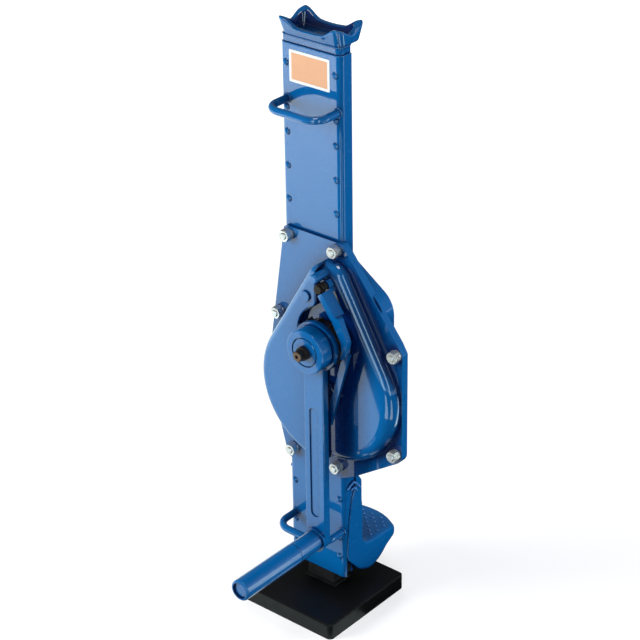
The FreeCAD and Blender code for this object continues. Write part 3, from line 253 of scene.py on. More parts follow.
# %% [markdown]
# ## The materials
#
# Each finish is a Principled shader fed by one of the groups. What is the same all over, such as
# the coat of the enamel, is set on the shader itself, because the export reads it there. The
# rounded normal from the edge finder goes through a Bump node that adds the ripples or the lines.

# %% Helper: a plain material
def new_material(name, fixed):
    """A material with fixed values on its Principled shader, its node tree and that shader."""
    material = bpy.data.materials.new(name)
    material.use_nodes = True
    shader = material.node_tree.nodes["Principled BSDF"]
    for socket, value in fixed.items():
        shader.inputs[socket].default_value = value
    return material, material.node_tree, shader


print("helper new_material:", new_material.__doc__)

# %% Helper: a finish from a group
def finish(name, group, values, bump, fixed, edge_radius=EDGE_RADIUS):
    """A material whose colour, roughness and bump come from a group. Fixed values go on the shader."""
    material, tree, shader = new_material(name, fixed)
    place = add(tree, "ShaderNodeTexCoord")
    edges = add(tree, "ShaderNodeGroup", {"Radius": edge_radius}, node_tree=edge_tree)
    surface = add(tree, "ShaderNodeGroup", {"Vector": place.outputs["Object"], **values}, node_tree=group)
    if "Edge" in surface.inputs:
        join(tree, edges.outputs["Edge"], surface.inputs["Edge"])
    strength, distance = bump
    relief = add(tree, "ShaderNodeBump",
                 {"Strength": strength, "Distance": distance, "Height": surface.outputs["Height"],
                  "Normal": edges.outputs["Normal"]})
    join(tree, relief.outputs["Normal"], shader.inputs["Normal"])
    join(tree, surface.outputs["Colour"], shader.inputs["Base Color"])
    join(tree, surface.outputs["Roughness"], shader.inputs["Roughness"])
    return material


print("helper finish:", finish.__doc__)

# %% [markdown]
# The jack is sprayed in a deep, very glossy blue. A clear coat over a smooth base gives the hard
# mirror image of the studio that the photograph shows, and the base below keeps its own colour. On
# the grip, which hands hold, the coat is duller. Inside the load head the painted shade reaches
# further and is darker, and on claw welds and studs the blue is paler, a painted highlight.

# %% Blue paints
# Besides the paint's own tones, these hold a lighter edge tone, partly wear and partly painted highlight,
# and painted shade for hollows.
BLUE = {"Colour": (0.0003, 0.111, 0.33, 1), "Deep": (0.0003, 0.094, 0.295, 1),
        "Wear And Highlight": (0.002, 0.13, 0.37, 1), "Painted Shade": (0.0002, 0.012, 0.08, 1)}
# A paler blue, a painted highlight for the claw's weld beads and toe studs.
HIGHLIGHT_BLUE = {"Colour": (0.05, 0.24, 0.6, 1), "Deep": (0.02, 0.17, 0.46, 1),
             "Wear And Highlight": (0.1, 0.32, 0.68, 1), "Painted Shade": (0.001, 0.03, 0.14, 1)}
BLUE_SKIN = {"Smooth": 0.22, "Dull": 0.34, "Peel Scale": 240.0}
BLUE_PEEL = (0.04, 0.0005)
SHUT = 0.45


def blue_finish(name, coat_roughness=0.03, reach=0.045, shut=SHUT, colours=BLUE):
    """The jack's enamel under a clear coat."""
    return finish(name, skin_tree, {**colours, **BLUE_SKIN, "Shade Reach": reach, "Shade Shut": shut}, BLUE_PEEL,
                  {"Coat Weight": 1.0, "Coat Roughness": coat_roughness, "Coat IOR": 1.7,
                   "Specular IOR Level": 0.08})


blue_paint = blue_finish("blue_enamel")
rubbed_paint = blue_finish("rubbed_blue_enamel", coat_roughness=0.22)
# The dish's enamel paints deeper shade: walls count from further away and a place turns dark sooner.
dish_shade_paint = blue_finish("dish_painted_shade_enamel", reach=0.12, shut=0.8)
# Paler enamel, a painted highlight.
highlight_paint = blue_finish("painted_highlight_enamel", coat_roughness=0.12, colours=HIGHLIGHT_BLUE)
print("blue paints", [paint.name for paint in (blue_paint, rubbed_paint, dish_shade_paint, highlight_paint)])

# %% [markdown]
# The foot plate is satin black, and the disc of the brake is a brown lining. Both are skins too,
# without a clear coat and with a finer grain, so they come from the same group as the enamel.

# %% Black paint and brake lining
# Both take the group's painted shade in hollows and its lighter edge tone, which on the foot plate is
# partly wear and partly painted highlight.
black_paint = finish(
    "black_satin_paint", skin_tree,
    {"Colour": (0.005, 0.005, 0.0055, 1), "Deep": (0.003, 0.003, 0.003, 1),
     "Wear And Highlight": (0.022, 0.022, 0.021, 1), "Painted Shade": (0.002, 0.002, 0.002, 1),
     "Smooth": 0.4, "Dull": 0.58, "Peel Scale": 900.0},
    (0.12, 0.0004), {"Specular IOR Level": 0.3}, edge_radius=0.002)
brake_lining = finish(
    "brake_lining", skin_tree,
    {"Colour": (0.06, 0.042, 0.03, 1), "Deep": (0.03, 0.022, 0.017, 1),
     "Wear And Highlight": (0.11, 0.085, 0.06, 1), "Painted Shade": (0.015, 0.01, 0.008, 1),
     "Smooth": 0.7, "Dull": 0.9, "Peel Scale": 1400.0},
    (0.5, 0.0004), {})
print(black_paint.name, brake_lining.name)

# %% [markdown]
# Bright zinc covers the studs, nuts and washers. Black oxide covers the crank shaft and the pawl's
# small parts, with brown showing through. The rack is dark, oiled steel. Bushes and guide pads are
# bronze. One group with other colours serves them all, so lines and blotches have one scale.

# %% Metals
zinc = finish(
    "bright_zinc", metal_tree,
    {"Colour": (0.86, 0.86, 0.84, 1), "Stain": (0.6, 0.59, 0.55, 1), "Stain Amount": 0.4,
     "Smooth": 0.22, "Dull": 0.38},
    (0.05, 0.0003), {"Metallic": 0.82}, edge_radius=0.0006)
black_oxide = finish(
    "black_oxide", metal_tree,
    {"Colour": (0.03, 0.024, 0.02, 1), "Stain": (0.075, 0.05, 0.036, 1), "Stain Amount": 0.7,
     "Smooth": 0.28, "Dull": 0.5},
    (0.1, 0.0003), {"Metallic": 0.6}, edge_radius=0.0005)
dark_steel = finish(
    "oiled_dark_steel", metal_tree,
    {"Colour": (0.05, 0.05, 0.052, 1), "Stain": (0.022, 0.02, 0.018, 1), "Stain Amount": 0.8,
     "Smooth": 0.25, "Dull": 0.5},
    (0.12, 0.0004), {"Metallic": 0.75}, edge_radius=0.0006)
bronze = finish(
    "bearing_bronze", metal_tree,
    {"Colour": (0.52, 0.31, 0.12, 1), "Stain": (0.26, 0.15, 0.07, 1), "Stain Amount": 0.6,
     "Smooth": 0.25, "Dull": 0.45},
    (0.08, 0.0003), {"Metallic": 1.0}, edge_radius=0.0005)
print([metal.name for metal in (zinc, black_oxide, dark_steel, bronze)])

# %% [markdown]
# The packed model names a slot for each node, such as blue_paint or zinc. A table from slot to
# finish dresses all nodes at once, and then the two parts of the grip get the duller coat.

# %% Dress the CAD nodes
finishes = {"blue_paint": blue_paint, "black_paint": black_paint, "zinc": zinc,
            "black_oxide": black_oxide, "dark_steel": dark_steel, "bronze": bronze,
            "brake_lining": brake_lining}
for node in nodes.values():
    slot_name = node.material_slots[0].material.name.split(".")[0]
    node.material_slots[0].material = finishes[slot_name]
for name in ("grip_sleeve", "grip_collar"):
    nodes[name].material_slots[0].material = rubbed_paint
print("painted", len(nodes), "nodes")

# %% [markdown]
# In the photograph the cover's flange is navy to the right of the ridge and light to its left. A
# darker paint for the whole cover would dull the left side too. So the cover has the same blue
# with painted shade beside the ridge: a ramp along X in Object coordinates says how closed in a
# place has to be to turn dark.

# %% Painted shade on the gear cover
SHADE_FROM, SHADE_TO = 30 * MM, 65 * MM
SHUT_RIGHT = 0.8
cover_shade_paint = blue_finish("cover_painted_shade_enamel", reach=0.05)
cover_tree = cover_shade_paint.node_tree
cover_skin = next(n for n in cover_tree.nodes if n.type == "GROUP" and n.node_tree == skin_tree)
place = add(cover_tree, "ShaderNodeTexCoord")
parts = add(cover_tree, "ShaderNodeSeparateXYZ", {"Vector": place.outputs["Object"]})
# Painted shade: to the right of the ridge, places that are less closed in already turn dark.
cover_painted_shade_shut = ramp(cover_tree, parts.outputs["X"], SHADE_FROM, SHADE_TO, SHUT, SHUT_RIGHT)
join(cover_tree, cover_painted_shade_shut, cover_skin.inputs["Shade Shut"])
nodes["gear_cover"].material_slots[0].material = cover_shade_paint
print("cover", cover_shade_paint.name)

# %% [markdown]
# The crank shaft's stub is black, and its end face is bare and brown. A second solid could carry
# the brown, but a mask is enough: the material is the black oxide again, with a step along Y in
# Object coordinates that picks the last half millimetre.

# %% Rubbed end of the crank shaft
END_FROM, END_TO = -86.6 * MM, -87.0 * MM
PALE_BROWN = (0.26, 0.17, 0.115, 1)
DARK_BROWN = (0.13, 0.085, 0.06, 1)
rubbed_shaft = black_oxide.copy()
rubbed_shaft.name = "rubbed_shaft"
rub_tree = rubbed_shaft.node_tree
rub_base = rub_tree.nodes["Principled BSDF"].inputs["Base Color"]
oxide_colour = rub_base.links[0].from_socket
place = add(rub_tree, "ShaderNodeTexCoord")
parts = add(rub_tree, "ShaderNodeSeparateXYZ", {"Vector": place.outputs["Object"]})
grain = add(rub_tree, "ShaderNodeTexNoise",
            {"Vector": place.outputs["Object"], "Scale": 500.0, "Detail": 3.0})
browns = mixed(rub_tree, grain.outputs["Fac"], PALE_BROWN, DARK_BROWN)
at_end = ramp(rub_tree, parts.outputs["Y"], END_FROM, END_TO)
join(rub_tree, mixed(rub_tree, at_end, oxide_colour, browns), rub_base)
nodes["crank_shaft"].material_slots[0].material = rubbed_shaft

# %% [markdown]
# ## Softer castings
#
# The load head and the claw are forged: every edge is rolled over and faces flow into each other.
# The CAD solids have the right size but crisper edges. Weld, Remesh and Smooth modifiers turn the
# triangles of a copy into an even skin and relax it, which rounds the edges by a few millimetres.
# The relaxed skin is then a mesh whose points can be worked on.

# %% Helper: the relaxed skin of a node
MERGE_GAP = 0.01 * MM
HALFWAY = 0.5


def relaxed_skin(name, voxel, rounds):
    """A bmesh of a CAD node's surface in even faces, with its edges rounded."""
    model = bpy.data.objects.new(name + "_copy", nodes[name].data.copy())
    bpy.context.scene.collection.objects.link(model)
    merge = model.modifiers.new("merge_doubles", "WELD")
    merge.merge_threshold = MERGE_GAP
    even = model.modifiers.new("even_skin", "REMESH")
    even.mode = "VOXEL"
    even.voxel_size = voxel * MM
    relax = model.modifiers.new("relax", "SMOOTH")
    relax.factor = HALFWAY
    relax.iterations = rounds
    shape = bmesh.new()
    shape.from_object(model, bpy.context.evaluated_depsgraph_get())
    bpy.data.objects.remove(model)
    return shape


print("helper relaxed_skin:", relaxed_skin.__doc__)

# %% Helper: one round of smoothing
def smooth(shape, verts):
    """Points move halfway to the middle of their neighbours."""
    bmesh.ops.smooth_vert(shape, verts=verts, factor=HALFWAY,
                          use_axis_x=True, use_axis_y=True, use_axis_z=True)


def fade_in(value, low, high):
    """0 below low, 1 above high, smooth between."""
    t = min(max((value - low) / (high - low), 0), 1)
    return t * t * (3 - 2 * t)


print("helper smooth:", smooth.__doc__)

# %% Helper: a finished piece
def new_piece(name, shape, material, body, slot=None):
    """An object at the origin from a bmesh, riding on a body."""
    mesh = bpy.data.meshes.new(name)
    shape.to_mesh(mesh)
    shape.free()
    for face in mesh.polygons:
        face.use_smooth = True
    mesh.materials.append(material)
    piece = bpy.data.objects.new(name, mesh)
    bpy.context.scene.collection.objects.link(piece)
    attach(piece, body)
    return piece


print("helper new_piece:", new_piece.__doc__)

# %% [markdown]
# The load head's lip sags between its four horns and rises quickly into each of them. A lip drawn
# from curves would need its own seam with the neck. Instead the softened skin of the CAD head is
# taken, and the lip's points between the horns sink a little, most at the rim and not at all at
# the neck. This piece then stands for the node.

# %% Load head casting
HEAD_VOXEL, HEAD_ROUNDS = 0.8, 14
NECK_TOP = 713.0
RIM_TOP = 733.0
LIP_SINK = 6.5
HORNS = [(x, y) for x in (-40.0, 40.0) for y in (-10.0, 30.0)]
HORN_REACH = (6.0, 24.0)
head_shape = relaxed_skin("load_head", HEAD_VOXEL, HEAD_ROUNDS)
for vert in head_shape.verts:
    x, y, z = vert.co / MM
    horn = min(math.hypot(x - hx, y - hy) for hx, hy in HORNS)
    sink = LIP_SINK * fade_in(z, NECK_TOP, RIM_TOP) * fade_in(horn, *HORN_REACH)
    vert.co.z -= sink * MM
smooth(head_shape, head_shape.verts)
# The head takes the enamel with deeper painted shade inside its dish.
casting = new_piece("load_head_casting", head_shape, dish_shade_paint, "housing", "blue_paint")
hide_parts("load_head")
print("head casting", len(casting.data.polygons), "faces")

# %% [markdown]
# The claw is a heavier forging. In the photograph its keel is a round of 35 mm radius, its toe has
# full corners, and its cheeks stand a little proud of the column's sides. Sculpting strokes could
# do this, but not twice alike. So the skin's points are moved by rule: near the bottom they go up
# or down onto the round, and the cheeks go outwards.

# %% Claw skin and its keel
CLAW_VOXEL, CLAW_ROUNDS = 1.0, 16
KEEL_CENTRE = (41.0, 68.0)
KEEL_RADIUS = 35.0
KEEL_BLEND = ((6.0, 16.0), (64.0, 76.0))
KEEL_DEPTH = 14.0
CHEEK_PROUD = 1.8
CHEEK_FROM = (36.0, 41.0)
claw_shape = relaxed_skin("claw", CLAW_VOXEL, CLAW_ROUNDS)
lowest = {}
for vert in claw_shape.verts:
    line = round(vert.co.y / MM)
    lowest[line] = min(lowest.get(line, math.inf), vert.co.z / MM)
for vert in claw_shape.verts:
    x, y, z = vert.co / MM
    vert.co.x += math.copysign(CHEEK_PROUD * fade_in(abs(x), *CHEEK_FROM), x) * MM
    across = KEEL_RADIUS ** 2 - (y - KEEL_CENTRE[0]) ** 2
    if across > 0:
        shift = KEEL_CENTRE[1] - math.sqrt(across) - lowest[round(y)]
        share = fade_in(y, *KEEL_BLEND[0]) * (1 - fade_in(y, *KEEL_BLEND[1]))
        vert.co.z += shift * share * (1 - fade_in(z - lowest[round(y)], 0, KEEL_DEPTH)) * MM
print("claw's lowest point", round(min(lowest.values()), 1), "mm before the shift")

# %% [markdown]
# Then the solid part of the claw is relaxed in bands, more and more towards the toe, so that no
# band shows an edge. Its top stays out of this, because thin cheeks would shrink.

# %% Claw casting
RELAX_BANDS = (12.0, 15.0, 18.0, 21.0, 24.0)
RELAX_ROUNDS = 9
SOLID_TOP = 84.0
for band in RELAX_BANDS:
    solid = [v for v in claw_shape.verts if v.co.y > band * MM and v.co.z < SOLID_TOP * MM]
    for _ in range(RELAX_ROUNDS):
        smooth(claw_shape, solid)
claw = new_piece("claw_casting", claw_shape, blue_paint, "housing", "blue_paint")
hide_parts("claw")
print("claw casting", len(claw.data.polygons), "faces")

# %% [markdown]
# ## Weld beads
#
# A weld is a row of small overlapping puddles. Each puddle here is a small ball, each a little
# larger or smaller than the last, and a Remesh modifier melts the row into one bead, which keeps
# the ripples. A plain tube along the seam would be quicker, but it would look like wire.

# %% Helper: a weld bead
PUDDLE_STEP = 1.3
PUDDLE_CHANGE = 0.12
PUDDLE_TURN = 2.4
MELT_VOXEL = 0.45
MELT_ROUNDS = 3


def along(points):
    """Points at even steps along a path of straight runs, in millimetres."""
    path = [Vector(point) for point in points]
    places = []
    for start, end in zip(path, path[1:]):
        count = max(1, round((end - start).length / PUDDLE_STEP))
        places += [start.lerp(end, i / count) for i in range(count)]
    return places + [path[-1]]


def weld_bead(name, paths, radius, material):
    """One bead for each path, all in one piece on the housing."""
    shape = bmesh.new()
    for points in paths:
        for i, place in enumerate(along(points)):
            size = radius * (1 + PUDDLE_CHANGE * math.sin(PUDDLE_TURN * i))
            bmesh.ops.create_icosphere(
                shape, subdivisions=2, radius=size * MM, matrix=Matrix.Translation(place * MM))
    piece = new_piece(name, shape, material, "housing", "blue_paint")
    melt = piece.modifiers.new("melt", "REMESH")
    melt.mode = "VOXEL"
    melt.voxel_size = MELT_VOXEL * MM
    melt.use_smooth_shade = True
    relax = piece.modifiers.new("relax", "SMOOTH")
    relax.factor = HALFWAY
    relax.iterations = MELT_ROUNDS
    return piece


print("helper weld_bead:", weld_bead.__doc__)

# %% [markdown]
# The claw's cheeks are let into the column's sides, and two arched beads close each seam at the
# top. Their points are read off the seam, in millimetres, on one side and used for both.

# %% Welds of the claw
SIDE_X = 43.4
CLAW_BEAD = 1.7
OUTER_ARCH = [(-2.6, 166.8), (1.5, 170.4), (6.6, 172.3), (11.4, 169.0), (19.2, 159.4)]
INNER_ARCH = [(3.4, 163.6), (7.4, 164.2), (10.6, 161.8), (12.8, 157.6)]
arches = [[(side * SIDE_X, y, z) for y, z in arch] for side in (-1, 1) for arch in (OUTER_ARCH, INNER_ARCH)]
# The claw's beads take the paler blue, a painted highlight.
weld_bead("claw_welds", arches, CLAW_BEAD, highlight_paint)
print("claw beads", len(arches))

# %% [markdown]
# A ring of weld holds each end of the two carry handles to the front plate. A ring is a path with
# twelve short runs, close enough to round once it has melted.

# %% Welds of the handles
HANDLE_HEIGHTS = (639.0, 108.0)
HANDLE_ENDS = (-33.0, 38.0)
FRONT_Y = -8.0
RING_RADIUS = 4.9
RING_PROUD = 0.2
RING_RUNS = 12
HANDLE_BEAD = 1.3
turns = [math.tau * i / RING_RUNS for i in range(RING_RUNS + 1)]
rings = []
for z in HANDLE_HEIGHTS:
    for x in HANDLE_ENDS:
        rings.append([(x + RING_RADIUS * math.cos(t), FRONT_Y - RING_PROUD, z + RING_RADIUS * math.sin(t))
                      for t in turns])
weld_bead("handle_welds", rings, HANDLE_BEAD, blue_paint)
print("handle beads", len(rings))

# %% [markdown]
# Two thin beads run round the neck, where the load head is plugged into the column: one at the
# column's top edge and one below the lip. Each goes round the front corners in an arc.

# %% Welds of the neck
NECK_BEAD = 1.1
NECK_REAR = 9.5
NECK_CORNER = 6.0
NECK_LOOPS = ((702.0, 41.4, -7.4), (711.2, 41.2, -7.2))
BEND_STEPS = (0, 22.5, 45, 67.5, 90)


def neck_path(z, half, front):
    """Round the neck's front from one rear end to the other."""
    left = []
    for bend in BEND_STEPS:
        x_in = NECK_CORNER * (1 - math.cos(math.radians(bend)))
        y_in = NECK_CORNER * (1 - math.sin(math.radians(bend)))
        left.append((-half + x_in, front + y_in, z))
    right = [(-x, y, height) for x, y, height in reversed(left)]
    return [(-half, NECK_REAR, z)] + left + right + [(half, NECK_REAR, z)]


weld_bead("neck_welds", [neck_path(*loop) for loop in NECK_LOOPS], NECK_BEAD, blue_paint)
print("neck beads", len(NECK_LOOPS))

# %% [markdown]
# ## Studs on the claw's toe
#
# The toe is cast with rows of small domes so that a load doesn't slide off. A bump in the paint
# would be flat at the toe's edge, so each dome is a squashed ball of a few dozen faces, set on the
# toe where a ray from above meets it and turned to its slope. Rows are staggered, as they are in
# the photograph, and a stud needs level ground all round it.

# %% Helper: ground for a stud
RAY_HEIGHT = 100.0
TOE_TOP = 80.0
TOE_FLAT = 0.97
STUD_ROOM = 4.5
UP = Vector((0, 0, 1))
claw_tree = BVHTree.FromObject(claw, bpy.context.evaluated_depsgraph_get())


def stud_ground(x, y):
    """The toe's point and normal below x, y, or nothing where the ground isn't level all round."""
    steps = ((0, 0), (1, 0), (-1, 0), (0, 1), (0, -1))
    around = [Vector((x + STUD_ROOM * dx, y + STUD_ROOM * dy, RAY_HEIGHT)) * MM for dx, dy in steps]
    hits = [claw_tree.ray_cast(start, -UP) for start in around]
    if any(hit[0] is None or hit[1].z < TOE_FLAT or hit[0].z > TOE_TOP * MM for hit in hits):
        return None
    return hits[0][:2]


print("helper stud_ground:", stud_ground.__doc__)

# %% Toe studs
STUD_PITCH = (7.1, 6.45)
STUD_START = 48.4
STUD_RADIUS = 1.9
STUD_HEIGHT = 1.3
STUD_GRID = [(column, row) for column in range(-5, 6) for row in range(-3, 8) if (column + row) % 2]
squash = Matrix.Diagonal((1, 1, STUD_HEIGHT / STUD_RADIUS, 1))
toe_shape = bmesh.new()
studs = 0
for column, row in STUD_GRID:
    ground = stud_ground(column * STUD_PITCH[0], STUD_START + row * STUD_PITCH[1])
    if ground:
        place, normal = ground
        turn = UP.rotation_difference(normal).to_matrix().to_4x4()
        bmesh.ops.create_uvsphere(toe_shape, u_segments=10, v_segments=6, radius=STUD_RADIUS * MM,
                                  matrix=Matrix.Translation(place) @ turn @ squash)
        studs += 1
# The studs take the paler blue, a painted highlight.
new_piece("toe_studs", toe_shape, highlight_paint, "housing", "blue_paint")
print("toe studs", studs)

# %% [markdown]
# ## A blank label
#
# A paper label sits below the head. It carries no words here: only a pale orange field in a white
# border. Paper is never one even colour, so each is two near tones mixed by noise, with a bump of
# fine fibres.

# %% Label materials
FADE = {"Scale": 90.0, "Detail": 4.0}
FIBRE = {"Scale": 2200.0, "Detail": 2.0}
FIBRE_BUMP = {"Strength": 0.05, "Distance": 0.0002}


def paper(name, colour, faded):
    """Printed paper: two near colours mixed by noise, and a fine fibre bump."""
    material, tree, shader = new_material(name, {"Roughness": 0.45, "Specular IOR Level": 0.3})
    place = add(tree, "ShaderNodeTexCoord").outputs["Object"]
    fade = add(tree, "ShaderNodeTexNoise", {"Vector": place, **FADE})
    fibre = add(tree, "ShaderNodeTexNoise", {"Vector": place, **FIBRE})
    relief = add(tree, "ShaderNodeBump", {"Height": fibre.outputs["Fac"], **FIBRE_BUMP})
    join(tree, mixed(tree, fade.outputs["Fac"], colour, faded), shader.inputs["Base Color"])
    join(tree, relief.outputs["Normal"], shader.inputs["Normal"])
    return material


label_border = paper("label_border", (0.74, 0.77, 0.77, 1), (0.68, 0.7, 0.7, 1))
label_field = paper("label_field", (0.69, 0.38, 0.215, 1), (0.63, 0.345, 0.21, 1))
print(label_border.name, label_field.name)

# %% [markdown]
# The label is a thin plate with round corners. Its border comes from insetting the front face, so
# that the print follows the label's own edge. A mask in the material could draw the border too, but
# it would need the label's measures a second time.

# %% Label
LABEL_LOW = Vector((-29.0, -8.0, 659.5))
LABEL_HIGH = Vector((27.0, -8.3, 696.0))
BORDER = 3.0
LABEL_CORNER = 1.2
FACES_FRONT = -0.9
GOES_BACK = 0.1 * MM
label_shape = bmesh.new()
bmesh.ops.create_cube(label_shape, size=1.0)
bmesh.ops.scale(label_shape, vec=(LABEL_HIGH - LABEL_LOW) * MM, verts=label_shape.verts)
bmesh.ops.translate(label_shape, vec=(LABEL_HIGH + LABEL_LOW) / 2 * MM, verts=label_shape.verts)
bmesh.ops.recalc_face_normals(label_shape, faces=label_shape.faces)
front_face = [f for f in label_shape.faces if f.normal.y < FACES_FRONT]
bmesh.ops.inset_region(label_shape, faces=front_face, thickness=BORDER * MM, use_even_offset=True)
for face in front_face:
    face.material_index = 1
through = [e for e in label_shape.edges if abs((e.verts[0].co - e.verts[1].co).y) > GOES_BACK]
bmesh.ops.bevel(label_shape, geom=through, offset=LABEL_CORNER * MM, affect="EDGES", segments=4,
                profile=0.5, material=-1)
label = new_piece("blank_label", label_shape, label_border, "housing")
label.data.materials.append(label_field)
for face in label.data.polygons:
    face.use_smooth = False
print("label", len(label.data.polygons), "faces")

# %% [markdown]
# ## The studio floor
#
# The photograph has a clean white ground. A pale floor alone would need so much light that the
# paint would bleach, so the floor adds a little glow of its own, but only for rays that come from
# the camera or from a mirror image. The lamps still light it, so the jack keeps its shadow.

# %% Helper: a thing of the studio
def stage_object(name, shape, material):
    """An object from a bmesh that belongs to the studio, not to the jack."""
    mesh = bpy.data.meshes.new(name)
    shape.to_mesh(mesh)
    shape.free()
    mesh.materials.append(material)
    thing = bpy.data.objects.new(name, mesh)
    bpy.context.scene.collection.objects.link(thing)
    return thing


print("helper stage_object:", stage_object.__doc__)

# %% Floor
FLOOR_HALF = 12.0
FLOOR_GREY = (0.48, 0.48, 0.48, 1)
pale, pale_tree, pale_shader = new_material(
    "pale_floor", {"Base Color": FLOOR_GREY, "Roughness": 0.9, "Specular IOR Level": 0.0})
floor_shape = bmesh.new()
bmesh.ops.create_grid(floor_shape, x_segments=2, y_segments=2, size=FLOOR_HALF)
floor = stage_object("studio_floor", floor_shape, pale)
print("floor", floor.name)

# %% [markdown]
# The glow has two parts. What the camera sees rises to full white away from the jack. What the
# paint mirrors is weaker near the jack, and faintly green, which on blue paint gives the pale
# tone of the photograph's front plate.

# %% Glow of the floor
FLOOR_GLOW = 0.6
SEEN_REACH = (0.9, 3.0)
MIRROR_NEAR, MIRROR_FAR = 0.46, 0.95
MIRROR_REACH = (0.15, 1.3)
MIRROR_TINT = (0.78, 1.0, 0.94, 1)
WHITE = (1, 1, 1, 1)
rays = add(pale_tree, "ShaderNodeLightPath").outputs
spot = add(pale_tree, "ShaderNodeTexCoord")
distance = add(pale_tree, "ShaderNodeVectorMath", {0: spot.outputs["Object"]}, operation="LENGTH")
reach = distance.outputs["Value"]
mirrored = worked_out(pale_tree, "MAXIMUM", rays["Is Glossy Ray"], rays["Is Transmission Ray"])
mirror_level = ramp(pale_tree, reach, *MIRROR_REACH, MIRROR_NEAR, MIRROR_FAR)
mirror_glow = worked_out(pale_tree, "MULTIPLY", mirrored, mirror_level)
seen_level = ramp(pale_tree, reach, *SEEN_REACH, FLOOR_GLOW, 1.0)
glow = worked_out(pale_tree, "MULTIPLY_ADD", rays["Is Camera Ray"], seen_level, mirror_glow)
tint = mixed(pale_tree, rays["Is Camera Ray"], MIRROR_TINT, WHITE)
join(pale_tree, glow, pale_shader.inputs["Emission Strength"])
join(pale_tree, tint, pale_shader.inputs["Emission Color"])
print("floor glow", FLOOR_GLOW, "mirrored", MIRROR_NEAR, "to", MIRROR_FAR)

# %% [markdown]
# ## Cards for the mirror image
#
# In the photograph the paint's front shows a pale mirror image and its right side shows none. A
# studio does this with a black card on the floor: here it lies at the right rear, where only the
# right-hand faces mirror it. Its bent edge was found by following rays from the camera, by way of
# the paint, to the floor. Cards are hidden from the camera and cast no shadow.

# %% Helper: a card
def stage_card(name, corners, grey, glow=0.0):
    """A flat card that only shows in mirror images."""
    shape = bmesh.new()
    shape.faces.new([shape.verts.new(corner) for corner in corners])
    felt, _, _ = new_material(
        name, {"Base Color": grey, "Roughness": 1.0, "Specular IOR Level": 0.0,
               "Emission Color": MIRROR_TINT, "Emission Strength": glow})
    card = stage_object(name, shape, felt)
    card.visible_camera = False
    card.visible_diffuse = False
    card.visible_shadow = False
    return card


print("helper stage_card:", stage_card.__doc__)

# %% Black card
BLACK_FELT = (0.01, 0.012, 0.02, 1)
BLACK_HEIGHT = 0.001
CARD_EDGE = [(0.127, -0.01), (-0.085, -0.262), (-0.12, -0.285), (-0.147, -0.31), (-0.16, -0.355),
             (-0.202, -0.424), (-0.358, -0.566), (-0.454, -0.635), (-0.563, -0.768), (-1.11, -1.434),
             (-2.07, -2.6)]
CARD_REST = [(3.0, -3.0), (3.0, 3.0), (-2.4, 3.0), (0.04, 0.0)]
stage_card("black_card", [(x, y, BLACK_HEIGHT) for x, y in CARD_EDGE + CARD_REST], BLACK_FELT)
print("black card", len(CARD_EDGE + CARD_REST), "corners")

# %% [markdown]
# Two small cards lie just above the black one. The end card brightens the round end of the grip,
# and the long grip card widens the pale streak along it. A brighter lamp would do this too, but it
# would bleach the paint elsewhere.

# %% Cards for the grip
GREY_FELT = (0.5, 0.5, 0.5, 1)
SMALL_HEIGHT = 0.0015
GRIP_GLOW = 3.6
END_CARD = [(-0.115, -0.35), (-0.045, -0.35), (-0.045, -0.295), (-0.115, -0.295)]
GRIP_CARD = [(0.36, 0.05), (0.76, 0.33), (1.6, 0.95), (1.6, 1.1), (0.76, 0.46), (0.36, 0.17)]
stage_card("end_card", [(x, y, SMALL_HEIGHT) for x, y in END_CARD], GREY_FELT, MIRROR_NEAR)
stage_card("grip_card", [(x, y, SMALL_HEIGHT) for x, y in GRIP_CARD], GREY_FELT, GRIP_GLOW)
print("grip cards", len(END_CARD), "and", len(GRIP_CARD), "corners")

# %% [markdown]
# ## The lamps
#
# One large soft lamp stands low at the front left and a weak one at the right. One at the right
# rear lights the right-hand sides, one at the left rear keeps the back from going dark, and a
# small one hangs above. Lamps that would show as squares in the paint are hidden from mirror
# images, where the floor and the cards take their place.

# %% Soft lamps
LAMP_WHITE = (1, 1, 1)
LAMP_COOL = (0.95, 0.91, 1.0)
LAMP_AIM = (0, 0, 0.35)
HIDDEN_LAMPS = (("front_softbox", (-1.25, -1.6, 0.95), 1.0, 57, LAMP_WHITE),
                ("fill_softbox", (1.7, -1.3, 1.3), 1.2, 3, LAMP_WHITE),
                ("rear_softbox", (1.6, 1.45, 0.82), 1.5, 43, LAMP_COOL),
                ("back_softbox", (-1.4, 1.6, 1.0), 1.5, 16, LAMP_WHITE))


def softbox(name, place, aim, size, power, colour=LAMP_WHITE):
    """A rectangular lamp at a place, turned to a point."""
    lamp = bpy.data.lights.new(name, "AREA")
    lamp.shape = "RECTANGLE"
    lamp.size, lamp.size_y = size
    lamp.energy = power
    lamp.color = colour
    holder = bpy.data.objects.new(name, lamp)
    facing = (Vector(aim) - Vector(place)).to_track_quat("-Z", "Y")
    holder.matrix_world = Matrix.Translation(place) @ facing.to_matrix().to_4x4()
    bpy.context.scene.collection.objects.link(holder)
    return holder


for name, place, size, power, colour in HIDDEN_LAMPS:
    softbox(name, place, LAMP_AIM, (size, size), power, colour).visible_glossy = False
softbox("top_softbox", (0.4, -0.3, 2.6), (0, 0, 0.3), (0.6, 0.6), 8)
print("soft lamps", len(HIDDEN_LAMPS) + 1)

# %% [markdown]
# Two narrow, bluish strip lamps near the camera draw the long streaks on the cover's ridge. Below
# each, a card on the floor carries the streak on down the bulge. White lines in the paint would
# be simpler, but they would stay in place when the view changes.

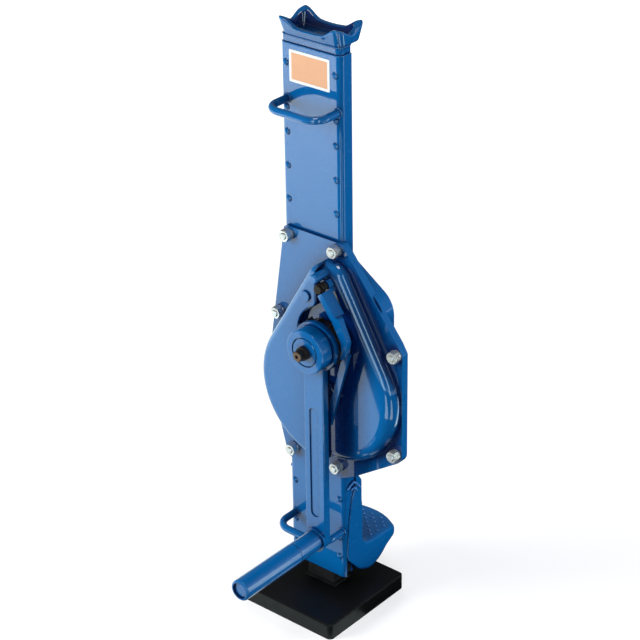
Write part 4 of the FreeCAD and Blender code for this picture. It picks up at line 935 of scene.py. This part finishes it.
# %% Strip lamps
STRIP_BLUE = (0.6, 0.86, 1.0)
STRIP_REACH = 1.57
STRIP_HEIGHT = Vector((0, 0, 0.75))
STRIP_AIM = (0, 0, 0.4)
STRIP_LENGTH = 1.3
STRIPS = (("near_strip", -58.0, 0.4, 6.0, 0.22), ("far_strip", -24.0, 0.2, 3.4, 0.16))
PALE_FELT = (0.8, 0.8, 0.8, 1)
STRIP_CARD_REACH = (0.5, 1.5)
STRIP_CARD_LIFT = Vector((0, 0, 0.002))
STRIP_CARD_GLOW = 1.7


def heading(angle):
    """A level direction, in degrees from +X towards +Y."""
    return Vector((math.cos(math.radians(angle)), math.sin(math.radians(angle)), 0))


for name, angle, width, power, card_width in STRIPS:
    way = heading(angle)
    strip_place = way * STRIP_REACH + STRIP_HEIGHT
    strip = softbox(name, strip_place, STRIP_AIM, (width, STRIP_LENGTH), power, STRIP_BLUE)
    strip.data.cycles.max_bounces = 0
    aside = Vector((-way.y, way.x, 0)) * card_width / 2
    near, far = [way * distance + STRIP_CARD_LIFT for distance in STRIP_CARD_REACH]
    corners = [near - aside, far - aside, far + aside, near + aside]
    stage_card(name + "_card", corners, PALE_FELT, STRIP_CARD_GLOW)
print("strips", [strip[0] for strip in STRIPS])

# %% [markdown]
# Two upright cards stand far behind the jack, at its right. They are placed so that hardly anything
# but the top of the grip mirrors them, and give it the bright line of the photograph. The wide one
# softens the edge of the bright one.

# %% Rear cards
REAR_CARDS = (("rear_card_wide", 2.1, (24.0, 36.2), (0.04, 0.72), 0.9),
              ("rear_card", 2.05, (27.0, 35.2), (0.14, 0.72), 3.8))
for name, distance, angles, heights, card_glow in REAR_CARDS:
    right, left = [heading(angle) * distance for angle in angles]
    low, high = [Vector((0, 0, z)) for z in heights]
    stage_card(name, [left + low, right + low, right + high, left + high], PALE_FELT, card_glow)
print("rear cards", len(REAR_CARDS))

# %% [markdown]
# The world is white for the camera, as the photograph's ground is. For the paint it is nearly dark:
# a bright sky would lay a grey veil over every glossy face.

# %% World
SKY_LIGHT, SKY_MIRRORED = 0.06, 0.09
world = bpy.data.worlds.new("studio_world")
bpy.context.scene.world = world
world.use_nodes = True
sky = world.node_tree
background = sky.nodes["Background"]
background.inputs["Color"].default_value = WHITE
sky_rays = add(sky, "ShaderNodeLightPath").outputs
sky_mirrored = worked_out(sky, "MAXIMUM", sky_rays["Is Glossy Ray"], sky_rays["Is Transmission Ray"])
sky_level = ramp(sky, sky_mirrored, 0.0, 1.0, SKY_LIGHT, SKY_MIRRORED)
join(sky, worked_out(sky, "MAXIMUM", sky_level, sky_rays["Is Camera Ray"]), background.inputs["Strength"])
bpy.context.scene.view_settings.view_transform = "Standard"
print("world", world.name)

# %% [markdown]
